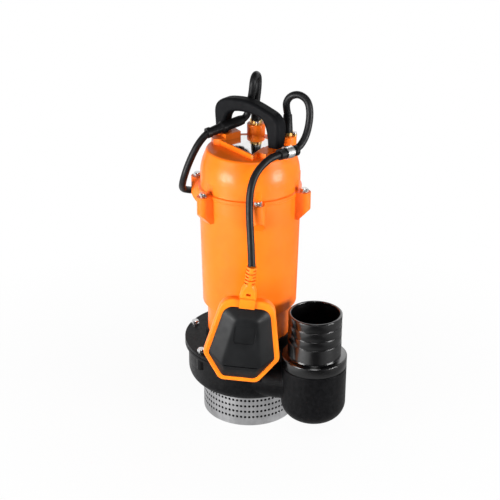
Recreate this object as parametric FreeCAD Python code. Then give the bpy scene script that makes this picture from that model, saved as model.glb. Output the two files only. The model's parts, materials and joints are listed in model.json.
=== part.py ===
import FreeCAD, Part
import math
import os

V = FreeCAD.Vector
os.makedirs("parts", exist_ok=True)

# Submersible sump pump, in millimetres.
# The origin is on the motor axis, on the surface that the strainer stands on. +Z is up, +X is
# towards the discharge and -Y is the side that the float hangs on.

# Strainer
strainer_r = 68.0
strainer_h = 48.6
strainer_wall = 1.2
strainer_rows = 4
strainer_row_z = 13.9
strainer_row_pitch = 9.07
strainer_holes = 72
strainer_hole_r = 1.9
base_wall = 1.6
dimple_h = 3.4
dimple_r = 8.0
strainer_screw_r = 2.5
strainer_screw_pcr = 52.0
strainer_screw_count = 3
post_r = 6.0
screw_head_r = 4.6
screw_head_h = 2.8

# Pump casing
bolt_start_deg = 38.0
bolt_count = 6
casing_wall_r = 89.5
casing_corner_r = 22.0
casing_cavity_r = 78.0
casing_foot_r = 68.6
casing_eye_r = 64.0
casing_floor = 5.0
casing_top_z = 109.0
flange_r = 94.5
flange_h = 4.0
casing_bolt_pcr = 87.5
casing_boss_r = 6.5
casing_boss_h = 17.0
casing_lip_h = 1.0
gasket_h = 1.0
gasket_inset = 4.0
lid_h = 5.0
lid_boss_r = 63.5
lid_boss_h = 16.0
suction_plate_h = 4.0
suction_eye_r = 27.0

# Discharge elbow and hose tail
outlet_x = 90.8
outlet_y = -86.0
cup_r = 45.8
cup_top_z = 114.7
cup_bottom_z = 32.0
cup_round_r = 26.0
cup_wall = 8.0
neck_r = 25.0
neck_bore_r = 20.0
neck_z = 80.0
neck_start_x = 4.0
neck_start_y = -64.0
tail_gasket_h = 1.6
tail_gasket_inset = 1.6
collar_h = 15.2
collar_chamfer = 1.5
tail_r = 37.5
tail_bore_r = 33.7
tail_barb_start = 38.0
tail_barb_pitch = 13.4
tail_barb_count = 3
tail_barb_depth = 1.0

# Seal chamber and motor housing
chamber_r = 60.5
chamber_wall = 6.0
chamber_top_z = 172.6
bearing_seat_wall = 6.0
bearing_seat_lip = 3.0
bearing_seat_h = 5.0
chamber_plate_drop = 4.0
housing_low_r = 67.3
housing_high_r = 70.7
housing_step_h = 4.0
housing_flare_h = 16.0
housing_bore_r = 60.2
housing_floor_h = 5.0
housing_floor_bore_r = 44.0
seam_z = 349.8
seam_r = 71.9
seam_bead_h = 3.5
lug_pcr = 80.0
lug_r = 9.0
lug_h = 37.0
lug_slant_h = 16.0
lug_foot_r = 5.0
scallop_r = 13.0
scallop_h = 14.0
seal_ring_pr = 67.4
seal_wire_r = 1.4
oil_plug_r = 6.0
oil_plug_deg = 100.0
oil_plug_z = 150.0
oil_plug_head_h = 3.0
oil_plug_slot_w = 1.4
oil_plug_face_h = 1.0

# Top cover
cover_r = 69.0
cover_wall = 5.0
cover_bead_h = 3.0
cover_shoulder_z = 382.0
cover_top_z = 405.5
cover_top_r = 60.0
cover_shoulder_round = 60.0
cover_top_round = 4.0
cover_roof_h = 5.5
cover_lug_h = 2.5
cover_spigot_h = 3.0
cover_spigot_wall = 4.0
platform_z = 408.0
plate_h = 3.0
lip_w = 2.6
lip_h = 1.6
plate_corners = [(-41, 7), (3.7, -53), (20, -20), (26, -12), (38, 0), (10, 33), (-12, 33), (-22, 26)]
lip_corners = [(-41, 7), (3.7, -53), (20, -20)]
lip_step = [(9.6, -41.0), (21.3, -49.0), (31.8, -31.5), (22.0, -19.0), (20.0, -20.0)]
pad_size = 21.0
pad_h = 1.0
block_h = 11.5
block_foot_z = 386.0
block_corners = [(-33.6, 10.6), (-13.1, 26.1), (-22.3, 42.8), (-38.8, 55.7), (-51.7, 39.2), (-43.6, 24.0)]
shelf_h = 6.0
shelf_corners = [(-33.6, 10.6), (-43.6, 24.0), (-51.7, 39.2), (-54.0, 24.0), (-50.5, 9.0), (-41.5, 6.5)]

# Handle
handle_left = (-37.0, 41.0)
handle_right = (35.0, -15.0)
handle_t = 20.0
handle_round = 5.0
handle_screw_r = 3.0
handle_outer = [(-8.7, 9.0), (-9.6, 28.0), (-7.8, 43.0), (1.0, 51.8), (20.0, 57.4), (40.0, 58.9),
                (60.0, 56.7), (80.0, 50.8), (93.0, 45.2), (100.2, 36.5), (101.8, 20.0), (99.9, 1.0)]
handle_inner = [(82.8, 1.0), (81.8, 14.0), (78.3, 27.5), (72.0, 36.6), (60.0, 40.4), (44.0, 41.2),
                (27.0, 39.4), (13.5, 32.5), (8.7, 20.0), (8.7, 9.0)]

# Cable entries and cords
cord_d = 10.0
power_gland = (8.2, 51.0)
float_gland = (51.0, 9.5)
gland_boss_r = 12.8
gland_boss_top_z = {power_gland: 423.5, float_gland: 420.0}
gland_boss_foot_z = 378.0
gland_plate_r = 8.8
gland_plate_h = 5.0
gland_ear_r = 3.4
gland_ear_pcr = 10.2
gland_screw_r = 1.6
gland_screw_head_r = 2.9
gland_screw_head_h = 2.6
relief_foot_r = 7.2
relief_tip_r = 6.0
relief_h = 29.0
sleeve_r = 8.8
power_sleeve = [(-59.4, 4.5, 423.5), (-10.5, 33.0, 434.0)]
sleeve_ring_l = 5.5
sleeve_end_r = 7.3
sleeve_waist_r = 6.0
sleeve_body_r = 7.2
sleeve_ring_share = 0.42
float_sleeve = [(38.5, -52.7, 413.7), (62.5, -30.7, 412.4)]
float_sleeve_r = 7.5
band_w = 11.5
band_t = 1.2
band_tab_l = 17.0
band_screw_s = 106.0
band_screw_side = 2.0
band_tab_lead = 4.0
power_hump = [(8.2, 51.0, 452.5), (9.6, 51.2, 464.0), (10.8, 51.2, 476.0), (11.0, 51.0, 487.8),
              (9.6, 46.6, 494.2), (7.2, 39.5, 496.6), (4.8, 32.4, 494.2), (3.4, 28.0, 487.8),
              (2.4, 29.6, 475.0), (0.0, 32.4, 461.0), (-2.2, 35.8, 448.5), (-4.6, 36.0, 439.0),
              (-10.5, 33.0, 434.0)]
power_drop = [(-59.4, 4.5, 423.5), (-70.0, 0.5, 411.5), (-77.5, -1.5, 398.0), (-84.3, -3.0, 383.0),
              (-90.0, -4.0, 367.0), (-93.8, 1.5, 352.0), (-95.2, 14.0, 340.5), (-94.0, 30.0, 331.5),
              (-89.5, 46.0, 324.0), (-80.0, 61.0, 317.0), (-67.5, 75.0, 307.0), (-56.5, 86.0, 292.0),
              (-49.5, 94.0, 270.0), (-46.0, 98.5, 240.0), (-44.5, 101.0, 200.0), (-44.5, 102.5, 156.0),
              (-44.5, 104.0, 117.0), (-44.5, 109.0, 84.0), (-44.3, 119.5, 59.0), (-44.1, 135.0, 43.0),
              (-44.0, 152.0, 37.75)]
float_loop = [(51.0, 9.5, 449.0), (49.0, 8.5, 458.0), (48.6, 4.5, 469.5), (55.0, 0.5, 479.2),
              (66.2, -4.0, 482.2), (77.0, -8.5, 475.2), (80.5, -12.5, 460.0), (78.5, -16.5, 440.0),
              (73.0, -22.0, 423.5),
              (62.5, -30.7, 412.4)]
float_hang = [(37.9, -53.3, 413.7), (31.5, -59.0, 413.4), (24.0, -64.5, 411.0), (17.0, -70.0, 406.0),
              (9.6, -77.0, 399.5), (3.4, -84.5, 389.0), (0.2, -89.5, 375.0), (-1.0, -92.5, 358.0),
              (-0.4, -97.0, 339.5), (0.7, -102.5, 321.0), (1.7, -109.0, 303.5), (2.3, -115.5, 291.0),
              (2.8, -120.0, 281.2)]
coil_centre = (32.0, 152.0)
coil_outer_r = 76.0
coil_turns = 14
coil_layers = 4
coil_pitch = 10.5
coil_rise = 10.45
tie_t = 1.2
tie_w = 4.8
tie_angles = (60.0, 240.0)
tie_head = (6.0, 7.0, 4.5)
plug_l = 38.0
plug_w = 30.0
plug_t = 12.6
pin_l = 19.0
pin_r = 2.4
pin_spacing = 19.0
plug_relief_l = 26.0
gland_bore_r = cord_d / 2 + 0.3

# Fasteners
bolt_r = 3.0
bolt_head_af = 10.0
bolt_head_h = 4.0
washer_r = 5.6
washer_h = 1.2
thread_bite = 15.0
fit_gap = 0.2

# Rotating parts
shaft_r = 8.5
shaft_low_z = 51.0
bearing_r = 20.0
bearing_h = 12.0
bearing_low_z = 158.0
bearing_high_z = 331.0
ball_r = 3.37
ball_play = 0.1
ball_track_r = 14.25
ball_count = 8
inner_ring_r = 12.2
outer_ring_bore_r = 16.3
stack_low_z = 206.0
stack_h = 88.0
rotor_r = 31.2
air_gap = 0.4
winding_h = 19.0
winding_in_r = 38.0
winding_out_r = 55.0
stator_slot_l = 9.0
stator_slot_w = 3.2
stator_lip = 1.2
stator_slots = 24
end_ring_h = 8.0
impeller_r = 58.0
impeller_plate_z = 90.0
impeller_plate_h = 4.0
vane_gap = 1.0
vane_count = 4
vane_t = 5.0
hub_r = 17.0
nut_af = 19.0
nut_h = 8.0
seal_seat_r = 20.0
seal_face_z = 122.0
seal_seat_h = 8.0
seal_ring_r = 16.0
seal_ring_h = 8.0
seal_play = 0.1
spring_wire_r = 1.1
spring_r = 12.0
spring_turns = 4
spring_h = 14.0

# Float
float_y = -120.0
float_x = -8.0
float_z = 175.0
float_lean_deg = 6.5
float_outline = [(35.2, 59.5), (52.8, -26.5), (26.5, -66.0)]
float_brow = 4.0
float_face = [(15.0, 37.0), (27.0, -33.5), (22.5, -39.5)]
float_frame_t = 14.0
float_rim_w = 7.0
float_corner_r = 12.0
float_shoulder_r = 20.0
float_inner_less = 5.0
float_edge_round = 3.0
cover_rise = 13.0
cover_soft = 1.5
panel_w = 29.0
panel_low_v = 0.0
panel_h = 27.0
panel_deep = 0.5
float_wall = 2.5
boot_low_v = 59.0
boot_u = -1.3
boot_tongue_w = 21.0
boot_tongue_h = 11.8
boot_tongue_t = 2.5
boot_eye_w = 6.2
boot_eye_h = 3.2
boot_eye_v = 66.0
boot_high_v = 106.7
boot_tip_r = 6.7
boot_foot_r = 11.6
boot_hip_r = 10.4
boot_hip_v = 73.0
boot_neck_r = 7.4
boot_neck_v = 80.5
boot_top_margin = 3.2
boot_slot_w = 1.9
boot_slot_deep = 2.8
boot_slot_pitch = 4.75
boot_slot_count = 5
boot_rib_half = 2.6
ball_weight_r = 6.5
ball_guide_r = 7.0
ball_guide_wall = 2.0
ball_guide_low_v = -34.0
ball_guide_h = 40.0
switch_size = (20.0, 12.0, 9.0)
switch_v = 12.0
lever_l = 17.0
lever_t = 0.8
lever_w = 5.0


def cyl(r, z0, z1, x=0.0, y=0.0):
    return Part.makeCylinder(r, z1 - z0, V(x, y, z0))


def ring(r_out, r_in, z0, z1, x=0.0, y=0.0):
    return cyl(r_out, z0, z1, x, y).cut(cyl(r_in, z0 - 1, z1 + 1, x, y))


def turned(profile, x=0.0, y=0.0):
    """Solid of revolution about a vertical axis through x, y from radius and height pairs."""
    points = [V(r, 0, z) for r, z in profile]
    face = Part.Face(Part.makePolygon(points + points[:1]))
    solid = face.revolve(V(0, 0, 0), V(0, 0, 1), 360)
    solid.translate(V(x, y, 0))
    return solid


def prism(corners, z0, z1):
    points = [V(x, y, z0) for x, y in corners]
    return Part.Face(Part.makePolygon(points + points[:1])).extrude(V(0, 0, z1 - z0))


def hexagon(af, z0, z1, x=0.0, y=0.0, turn=0.0):
    r = af / math.sqrt(3)
    angles = [math.radians(turn + 60 * i) for i in range(6)]
    return prism([(x + r * math.cos(a), y + r * math.sin(a)) for a in angles], z0, z1)


def polar(r, deg):
    return r * math.cos(math.radians(deg)), r * math.sin(math.radians(deg))


def around(pcr, count, start=0.0):
    return [polar(pcr, start + 360.0 * i / count) for i in range(count)]


def joined(shapes):
    first, rest = shapes[0], shapes[1:]
    solid = first.multiFuse(rest) if rest else first
    return solid.removeSplitter()


def level_edges(shape, z):
    """Outer edges that lie flat at a height."""
    flat = [e for e in shape.Edges if abs(e.BoundBox.ZMax - z) < 0.01 and abs(e.BoundBox.ZMin - z) < 0.01]
    widest = max(e.BoundBox.XLength for e in flat)
    return [e for e in flat if e.BoundBox.XLength > widest - 0.01]


def group(shapes):
    return Part.makeCompound(shapes)


def arc_path(points):
    """Wire of straight runs joined by the largest tangent arcs, and its tightest radius."""
    edges = []
    tightest = 1e9
    start = points[0]
    for before, corner, after in zip(points, points[1:], points[2:]):
        into = (corner - before).normalize()
        out = (after - corner).normalize()
        half = into.getAngle(out) / 2
        reach = 0.45 * min(corner.distanceToPoint(before), corner.distanceToPoint(after))
        radius = reach / math.tan(half)
        tightest = min(tightest, radius)
        a = corner - into * reach
        b = corner + out * reach
        bisector = (out - into).normalize()
        middle = corner + bisector * (radius / math.cos(half) - radius)
        edges.append(Part.LineSegment(start, a).toShape())
        edges.append(Part.Arc(a, middle, b).toShape())
        start = b
    edges.append(Part.LineSegment(start, points[-1]).toShape())
    return Part.Wire(edges), tightest


def round_tube(wire, r):
    edge = wire.Edges[0]
    start = edge.valueAt(edge.FirstParameter)
    section = Part.Wire(Part.Circle(start, edge.tangentAt(edge.FirstParameter), r).toShape())
    return wire.makePipeShell([section], True, False)


def cord(name, route):
    wire, tightest = arc_path([V(*p) for p in route])
    tube = round_tube(wire, cord_d / 2)
    expected = math.pi * (cord_d / 2) ** 2 * wire.Length
    print(name, "length %.0f" % wire.Length, "tightest radius %.0f" % tightest,
          "volume over section times length %.4f" % (tube.Volume / expected))
    return tube


bolt_places = around(1.0, bolt_count, bolt_start_deg)
gasket_top_z = casing_top_z + gasket_h
lid_top_z = gasket_top_z + lid_h
chamber_low_z = lid_top_z + lid_boss_h
collar_low_z = cup_top_z + tail_gasket_h
collar_top_z = collar_low_z + collar_h
tail_top_z = collar_top_z + tail_barb_start - collar_h + tail_barb_pitch * tail_barb_count
plate_top_z = platform_z + plate_h


def strainer():
    wall = ring(strainer_r, strainer_r - strainer_wall, 0, strainer_h)
    hole = Part.makeCylinder(strainer_hole_r, 4 * strainer_wall, V(strainer_r - 3 * strainer_wall, 0, 0),
                             V(1, 0, 0))
    cutters = []
    for row in range(strainer_rows):
        for i in range(strainer_holes):
            drill = hole.copy()
            drill.translate(V(0, 0, strainer_row_z + row * strainer_row_pitch))
            drill.rotate(V(0, 0, 0), V(0, 0, 1), 360.0 * i / strainer_holes)
            cutters.append(drill)
    band = wall.cut(group(cutters))
    places = around(strainer_screw_pcr, strainer_screw_count, bolt_start_deg)
    dimple_top = dimple_h + base_wall
    base = cyl(strainer_r - strainer_wall, 0, base_wall)
    for x, y in places:
        base = base.cut(cyl(dimple_r, -1, base_wall + 1, x, y))
        pressed = cyl(dimple_r + 0.1, 0, dimple_top, x, y).cut(cyl(dimple_r - base_wall, -1, dimple_h, x, y))
        base = base.fuse(pressed).cut(cyl(strainer_screw_r + fit_gap, -1, dimple_top + 1, x, y))
    base = base.removeSplitter()
    screws = []
    for x, y in places:
        shank = cyl(strainer_screw_r, dimple_h, dimple_top + thread_bite, x, y)
        screws.append(joined([shank, cyl(screw_head_r, dimple_h - screw_head_h, dimple_h, x, y)]))
    low = strainer_h
    plate = ring(casing_eye_r, suction_eye_r, low, low + suction_plate_h)
    posts = [cyl(post_r, dimple_top, low + 1, x, y) for x, y in places]
    plate = joined([plate] + posts)
    for x, y in places:
        plate = plate.cut(cyl(strainer_screw_r, dimple_h, dimple_top + thread_bite, x, y))
    return {"strainer_band": band, "strainer_base": base, "strainer_screws": group(screws),
            "suction_cover": plate}


def neck(r):
    run = V(outlet_x - neck_start_x, outlet_y - neck_start_y, 0)
    return Part.makeCylinder(r, run.Length, V(neck_start_x, neck_start_y, neck_z), run)


def casing():
    low = strainer_h
    flange_low_z = casing_top_z - flange_h
    body = turned([(0, low), (casing_foot_r, low), (casing_foot_r, low + casing_lip_h),
                   (casing_wall_r, low + casing_lip_h), (casing_wall_r, flange_low_z),
                   (flange_r, flange_low_z),
                   (flange_r, casing_top_z), (0, casing_top_z)])
    corner = [e for e in body.Edges
              if abs(e.BoundBox.ZMax - low - casing_lip_h) < 0.01
              and abs(e.BoundBox.XMax - casing_wall_r) < 0.01]
    body = body.makeFillet(min(casing_corner_r, casing_wall_r - casing_foot_r - 0.2), corner)
    cup = cyl(cup_r, cup_bottom_z, cup_top_z, outlet_x, outlet_y)
    floor_edge = [e for e in cup.Edges if abs(e.BoundBox.ZMax - cup_bottom_z) < 0.01]
    cup = cup.makeFillet(cup_round_r, floor_edge)
    bosses = [cyl(casing_boss_r, flange_low_z - casing_boss_h, casing_top_z,
                  x * casing_bolt_pcr, y * casing_bolt_pcr)
              for x, y in bolt_places]
    body = joined([body, cup, neck(neck_r)] + bosses)
    inner_r = cup_r - cup_wall
    pocket = cyl(inner_r, cup_bottom_z + cup_wall, cup_top_z + 1, outlet_x, outlet_y)
    pocket_edge = [e for e in pocket.Edges if abs(e.BoundBox.ZMax - cup_bottom_z - cup_wall) < 0.01]
    pocket = pocket.makeFillet(cup_round_r - cup_wall, pocket_edge)
    body = body.cut(cyl(casing_cavity_r, low + casing_floor, casing_top_z + 1))
    body = body.cut(cyl(casing_eye_r, low - 1, low + casing_floor + 1))
    body = body.cut(pocket).cut(neck(neck_bore_r))
    for x, y in bolt_places:
        at = (x * casing_bolt_pcr, y * casing_bolt_pcr)
        body = body.cut(cyl(bolt_r, lid_top_z - flange_h - thread_bite - 2, casing_top_z + 1, *at))
    return body


def bolt(x, y, seat_z, length):
    shank = cyl(bolt_r, seat_z - length, seat_z + 0.5, x, y)
    head = hexagon(bolt_head_af, seat_z, seat_z + bolt_head_h, x, y, 12.0)
    crown = Part.makeCone(bolt_head_af / math.sqrt(3) + 1.6, bolt_head_af / 2 - 0.6, bolt_head_h,
                          V(x, y, seat_z))
    return joined([shank, head.common(crown)])


def lid_and_bolts():
    clear = cyl(cup_r + 2 * fit_gap, casing_top_z - 1, lid_top_z + 1, outlet_x, outlet_y)
    gasket = ring(flange_r - gasket_inset, casing_cavity_r, casing_top_z, gasket_top_z).cut(clear)
    plate = joined([cyl(flange_r, gasket_top_z, lid_top_z), cyl(lid_boss_r, gasket_top_z, chamber_low_z)])
    plate = plate.cut(clear)
    seat_top = seal_face_z + seal_seat_h
    plate = plate.cut(cyl(seal_seat_r - 3, gasket_top_z - 1, chamber_low_z + 1))
    plate = plate.cut(cyl(seal_seat_r, seal_face_z, chamber_low_z + 1))
    bolts = []
    washers = []
    for x, y in bolt_places:
        bx, by = x * casing_bolt_pcr, y * casing_bolt_pcr
        hole = cyl(bolt_r + fit_gap, casing_top_z - 1, lid_top_z + 1, bx, by)
        gasket = gasket.cut(hole)
        plate = plate.cut(hole)
        washers.append(ring(washer_r, bolt_r + fit_gap, lid_top_z, lid_top_z + washer_h, bx, by))
        bolts.append(bolt(bx, by, lid_top_z + washer_h, thread_bite + flange_h))
    seat = ring(seal_seat_r, shaft_r + 1.5, seal_face_z, seat_top)
    nodes = {"casing_gasket": gasket, "casing_lid": plate, "casing_bolts": group(bolts), "seal_seat": seat}
    return nodes, washers


def hose_tail():
    inner_r = cup_r - cup_wall - fit_gap
    gasket = ring(cup_r - tail_gasket_inset, inner_r + fit_gap, cup_top_z, collar_low_z, outlet_x, outlet_y)
    first = collar_top_z + tail_barb_start - collar_h
    profile = [(tail_bore_r, cup_top_z - 12), (inner_r, cup_top_z - 12), (inner_r, collar_low_z),
               (cup_r, collar_low_z), (cup_r, collar_top_z - collar_chamfer),
               (cup_r - collar_chamfer, collar_top_z), (tail_r, collar_top_z), (tail_r, first)]
    for i in range(tail_barb_count):
        z = first + i * tail_barb_pitch
        profile += [(tail_r - tail_barb_depth, z), (tail_r, z + tail_barb_pitch)]
    profile += [(tail_r - 1.2, tail_top_z + 0.8), (tail_bore_r + 0.6, tail_top_z + 0.8),
                (tail_bore_r, tail_top_z)]
    return {"hose_tail_gasket": gasket, "hose_tail": turned(profile, outlet_x, outlet_y)}


def seal_chamber():
    low = chamber_low_z
    plate_low = bearing_low_z + bearing_h - chamber_plate_drop
    seat_r = bearing_r + bearing_seat_wall
    seat_bore_r = bearing_r - bearing_seat_lip
    seat_low = bearing_low_z - bearing_seat_h
    body = turned([(chamber_r - chamber_wall, low), (chamber_r, low), (chamber_r, chamber_top_z),
                   (bearing_r, chamber_top_z), (bearing_r, bearing_low_z), (seat_bore_r, bearing_low_z),
                   (seat_bore_r, seat_low), (seat_r, seat_low), (seat_r, plate_low),
                   (chamber_r - chamber_wall, plate_low)])
    x, y = polar(1.0, oil_plug_deg)
    out = V(x, y, 0)
    level = V(0, 0, oil_plug_z)
    face = chamber_r + oil_plug_face_h
    boss = Part.makeCylinder(oil_plug_r + 2, chamber_wall, out * (face - chamber_wall) + level, out)
    start = out * (chamber_r - 2 * chamber_wall) + level
    drill = Part.makeCylinder(oil_plug_r - 1, 3 * chamber_wall, start, out)
    body = joined([body, boss]).cut(drill)
    shank = Part.makeCylinder(oil_plug_r - 1, chamber_wall, out * (face - chamber_wall) + level, out)
    head = Part.makeCylinder(oil_plug_r, oil_plug_head_h, out * face + level, out)
    slot = Part.makeBox(2, oil_plug_slot_w, 5 * oil_plug_r, V(-1, -oil_plug_slot_w / 2, -2.5 * oil_plug_r))
    slot.rotate(V(0, 0, 0), V(0, 0, 1), oil_plug_deg)
    slot.translate(out * (face + oil_plug_head_h) + level)
    return {"seal_chamber": body, "oil_plug": joined([shank, head]).cut(slot)}


def lug(deg, foot_z, top_z):
    """Ear that carries one bolt, rounded on its outside and running into the wall."""
    x, y = polar(lug_pcr, deg)
    round_end = cyl(lug_r, foot_z, top_z, x, y)
    web = Part.makeBox(lug_pcr - housing_bore_r - 3, 2 * lug_r, top_z - foot_z,
                       V(housing_bore_r + 3, -lug_r, foot_z))
    web.rotate(V(0, 0, 0), V(0, 0, 1), deg)
    return round_end.fuse(web).removeSplitter()


def motor_housing():
    low = chamber_top_z
    top_bead = seam_z - seam_bead_h
    body = turned([(0, low), (chamber_r + 0.5, low), (housing_low_r, low + housing_step_h),
                   (housing_high_r, top_bead - housing_flare_h), (housing_high_r, top_bead),
                   (seam_r, top_bead + 1),
                   (seam_r, seam_z), (0, seam_z)])
    foot_z = seam_z - lug_h
    bowl = turned([(0, foot_z - 1), (housing_high_r + lug_foot_r, foot_z - 1),
                   (housing_high_r + lug_foot_r, foot_z),
                   (lug_pcr + lug_r + 1, foot_z + lug_slant_h), (lug_pcr + lug_r + 1, seam_z), (0, seam_z)])
    ears = [lug(bolt_start_deg + 60 * i, foot_z, seam_z).common(bowl) for i in range(bolt_count)]
    body = joined([body] + ears)
    body = body.cut(cyl(housing_bore_r, low + housing_floor_h, seam_z + 1))
    body = body.cut(cyl(housing_floor_bore_r, low - 1, low + housing_floor_h + 1))
    body = body.cut(Part.makeTorus(seal_ring_pr, seal_wire_r + 0.1, V(0, 0, seam_z)))
    for x, y in bolt_places:
        body = body.cut(cyl(bolt_r, seam_z - thread_bite, seam_z + 1, x * lug_pcr, y * lug_pcr))
    return {"motor_housing": body, "seam_o_ring": Part.makeTorus(seal_ring_pr, seal_wire_r, V(0, 0, seam_z))}


def foot_frame(shape):
    """Place a shape drawn from the left foot along +X and up +Z at the handle."""
    turn = math.degrees(math.atan2(handle_right[1] - handle_left[1], handle_right[0] - handle_left[0]))
    placed = shape.copy()
    placed.rotate(V(0, 0, 0), V(0, 0, 1), turn)
    placed.translate(V(handle_left[0], handle_left[1], 0))
    return placed


handle_span = math.hypot(handle_right[0] - handle_left[0], handle_right[1] - handle_left[1])


def top_cover():
    body = turned([(0, seam_z), (seam_r, seam_z), (seam_r, seam_z + cover_bead_h - 1),
                   (cover_r, seam_z + cover_bead_h), (cover_r, cover_shoulder_z), (cover_top_r, cover_top_z),
                   (0, cover_top_z)])
    body = body.makeFillet(cover_shoulder_round, level_edges(body, cover_shoulder_z))
    body = body.makeFillet(cover_top_round, level_edges(body, cover_top_z))
    lug_top = seam_z + cover_lug_h
    for x, y in bolt_places:
        at = (x * lug_pcr, y * lug_pcr)
        body = body.cut(cyl(scallop_r, lug_top, lug_top + scallop_h, *at))
    ears = [lug(bolt_start_deg + 60 * i, seam_z, lug_top) for i in range(bolt_count)]
    raised = [prism(plate_corners, cover_top_z - 1, platform_z)]
    half = pad_size / 2
    pad = Part.makeBox(pad_size, pad_size, plate_top_z + pad_h - cover_top_z + 1,
                       V(handle_span - half, -half, cover_top_z - 1))
    block = prism(block_corners, block_foot_z, platform_z + block_h)
    block = block.cut(rod(*power_sleeve, sleeve_r + fit_gap))
    shelf = prism(shelf_corners, block_foot_z, platform_z + shelf_h)
    raised += [foot_frame(pad), block, shelf, lip_rest()] + plate_lips()
    for x, y in (power_gland, float_gland):
        top = gland_boss_top_z[x, y]
        boss = cyl(gland_boss_r, gland_boss_foot_z, top, x, y)
        rim = [e for e in boss.Edges if abs(e.BoundBox.ZMin - top) < 0.01]
        raised.append(boss.makeFillet(1.6, rim))
    body = joined([body] + ears + raised)
    inner_r = cover_r - cover_wall
    roof_low_z = cover_top_z - cover_roof_h
    hollow = turned([(0, seam_z - 1), (inner_r, seam_z - 1), (inner_r, cover_shoulder_z - 2),
                     (cover_top_r - cover_wall, roof_low_z), (0, roof_low_z)])
    body = body.cut(hollow)
    spigot_r = housing_bore_r - fit_gap
    spigot = ring(spigot_r, spigot_r - cover_spigot_wall, seam_z - cover_spigot_h, seam_z)
    web = ring(inner_r + 1, spigot_r - cover_spigot_wall, seam_z, seam_z + cover_bead_h)
    body = joined([body, spigot, web])
    body = body.cut(Part.makeTorus(seal_ring_pr, seal_wire_r + 0.1, V(0, 0, seam_z)))
    bolts = []
    washers = []
    for x, y in bolt_places:
        bx, by = x * lug_pcr, y * lug_pcr
        body = body.cut(cyl(bolt_r + fit_gap, seam_z - 1, lug_top + 1, bx, by))
        washers.append(ring(washer_r, bolt_r + fit_gap, lug_top, lug_top + washer_h, bx, by))
        bolts.append(bolt(bx, by, lug_top + washer_h, thread_bite))
    for x, y in (power_gland, float_gland):
        body = body.cut(cyl(gland_bore_r, gland_boss_foot_z - 20, gland_boss_top_z[x, y] + 1, x, y))
    return body, bolts, washers


def plate_lips(clearance=0.0):
    """Raised edge of the cover along the front of its polished plate."""
    bars = []
    for (ax, ay), (bx, by) in zip(lip_corners, lip_corners[1:]):
        run = V(bx - ax, by - ay, 0)
        bar = Part.makeBox(run.Length, lip_w + clearance, plate_h + lip_h + 0.5, V(0, 0, platform_z - 0.5))
        bar.rotate(V(0, 0, 0), V(0, 0, 1), math.degrees(math.atan2(run.y, run.x)))
        bar.translate(V(ax, ay, 0))
        bars.append(bar)
    return bars


def lip_rest():
    return prism(lip_step, cover_top_z - 1, plate_top_z + lip_h)


def plates():
    plate = prism(plate_corners, platform_z, plate_top_z)
    for bar in plate_lips(fit_gap):
        plate = plate.cut(bar)
    half = pad_size / 2 + fit_gap
    gap = Part.makeBox(2 * half, 2 * half, 20, V(handle_span - half, -half, platform_z - 5))
    plate = plate.cut(foot_frame(gap))
    for corners in (block_corners, shelf_corners):
        plate = plate.cut(prism(inset(corners, fit_gap), platform_z - 5, plate_top_z + 5))
    for x, y in (power_gland, float_gland):
        plate = plate.cut(cyl(gland_boss_r + fit_gap, platform_z - 5, plate_top_z + 5, x, y))
    return plate


def handle():
    sides = (handle_outer, handle_inner)
    outer, inner = [[V(s, -handle_t / 2, h + plate_top_z) for s, h in side] for side in sides]
    curves = []
    for side in (outer, inner):
        curve = Part.BSplineCurve()
        curve.interpolate(side)
        curves.append(curve.toShape())
    feet = [Part.makeLine(outer[-1], inner[0]), Part.makeLine(inner[-1], outer[0])]
    wire = Part.Wire([curves[0], feet[0], curves[1], feet[1]])
    slab = Part.Face(wire).extrude(V(0, handle_t, 0))
    foot_zs = (handle_outer[0][1] + plate_top_z, handle_outer[-1][1] + plate_top_z)
    flat = [e for e in slab.Edges if e.BoundBox.YLength < 0.01]
    long_edges = [e for e in flat if isinstance(e.Curve, Part.BSplineCurve)]
    slab = slab.makeFillet(handle_round, long_edges)
    screws = []
    for s, foot_z in ((0.0, foot_zs[0]), (handle_span, foot_zs[1])):
        slab = slab.cut(cyl(handle_screw_r, foot_z - 1, foot_z + thread_bite, s, 0))
        screws.append(cyl(handle_screw_r, cover_top_z - cover_roof_h - 2, foot_z + thread_bite, s, 0))
    hole_r = handle_screw_r + fit_gap
    holes = [cyl(hole_r, cover_top_z - 30, foot_zs[0] + 1, s, 0) for s in (0.0, handle_span)]
    return foot_frame(slab), group([foot_frame(s) for s in screws]), [foot_frame(h) for h in holes]


def gland(x, y, turn):
    """Clamp plate with two ears, its screws and the cable's tapered relief."""
    low = gland_boss_top_z[x, y]
    top = low + gland_plate_h
    plate = cyl(gland_plate_r, low, top, x, y)
    ends = [polar(gland_ear_pcr, turn), polar(gland_ear_pcr, turn + 180)]
    bar = Part.makeBox(2 * gland_ear_pcr, 2 * gland_ear_r, gland_plate_h - 2,
                       V(-gland_ear_pcr, -gland_ear_r, low))
    bar.rotate(V(0, 0, 0), V(0, 0, 1), turn)
    bar.translate(V(x, y, 0))
    ears = [cyl(gland_ear_r, low, top - 2, x + ex, y + ey) for ex, ey in ends]
    plate = joined([plate, bar] + ears).cut(cyl(relief_foot_r, low - 1, top + 1, x, y))
    screws = []
    for ex, ey in ends:
        plate = plate.cut(cyl(gland_screw_r + fit_gap, low - 1, top + 1, x + ex, y + ey))
        plate = plate.cut(cyl(gland_screw_head_r + fit_gap, top - 2, top + 1, x + ex, y + ey))
        shank = cyl(gland_screw_r, low - 6, top - 2, x + ex, y + ey)
        head_top = top - 2 + gland_screw_head_h
        head = cyl(gland_screw_head_r, top - 2, head_top, x + ex, y + ey)
        head = head.cut(Part.makeBox(8, 0.9, 2, V(x + ex - 4, y + ey - 0.45, head_top - 1)))
        screws.append(joined([shank, head]))
    relief = turned([(0, low), (relief_foot_r, low), (relief_foot_r, top + 4), (relief_tip_r, low + relief_h),
                     (0, low + relief_h)], x, y)
    return plate, screws, relief


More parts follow.
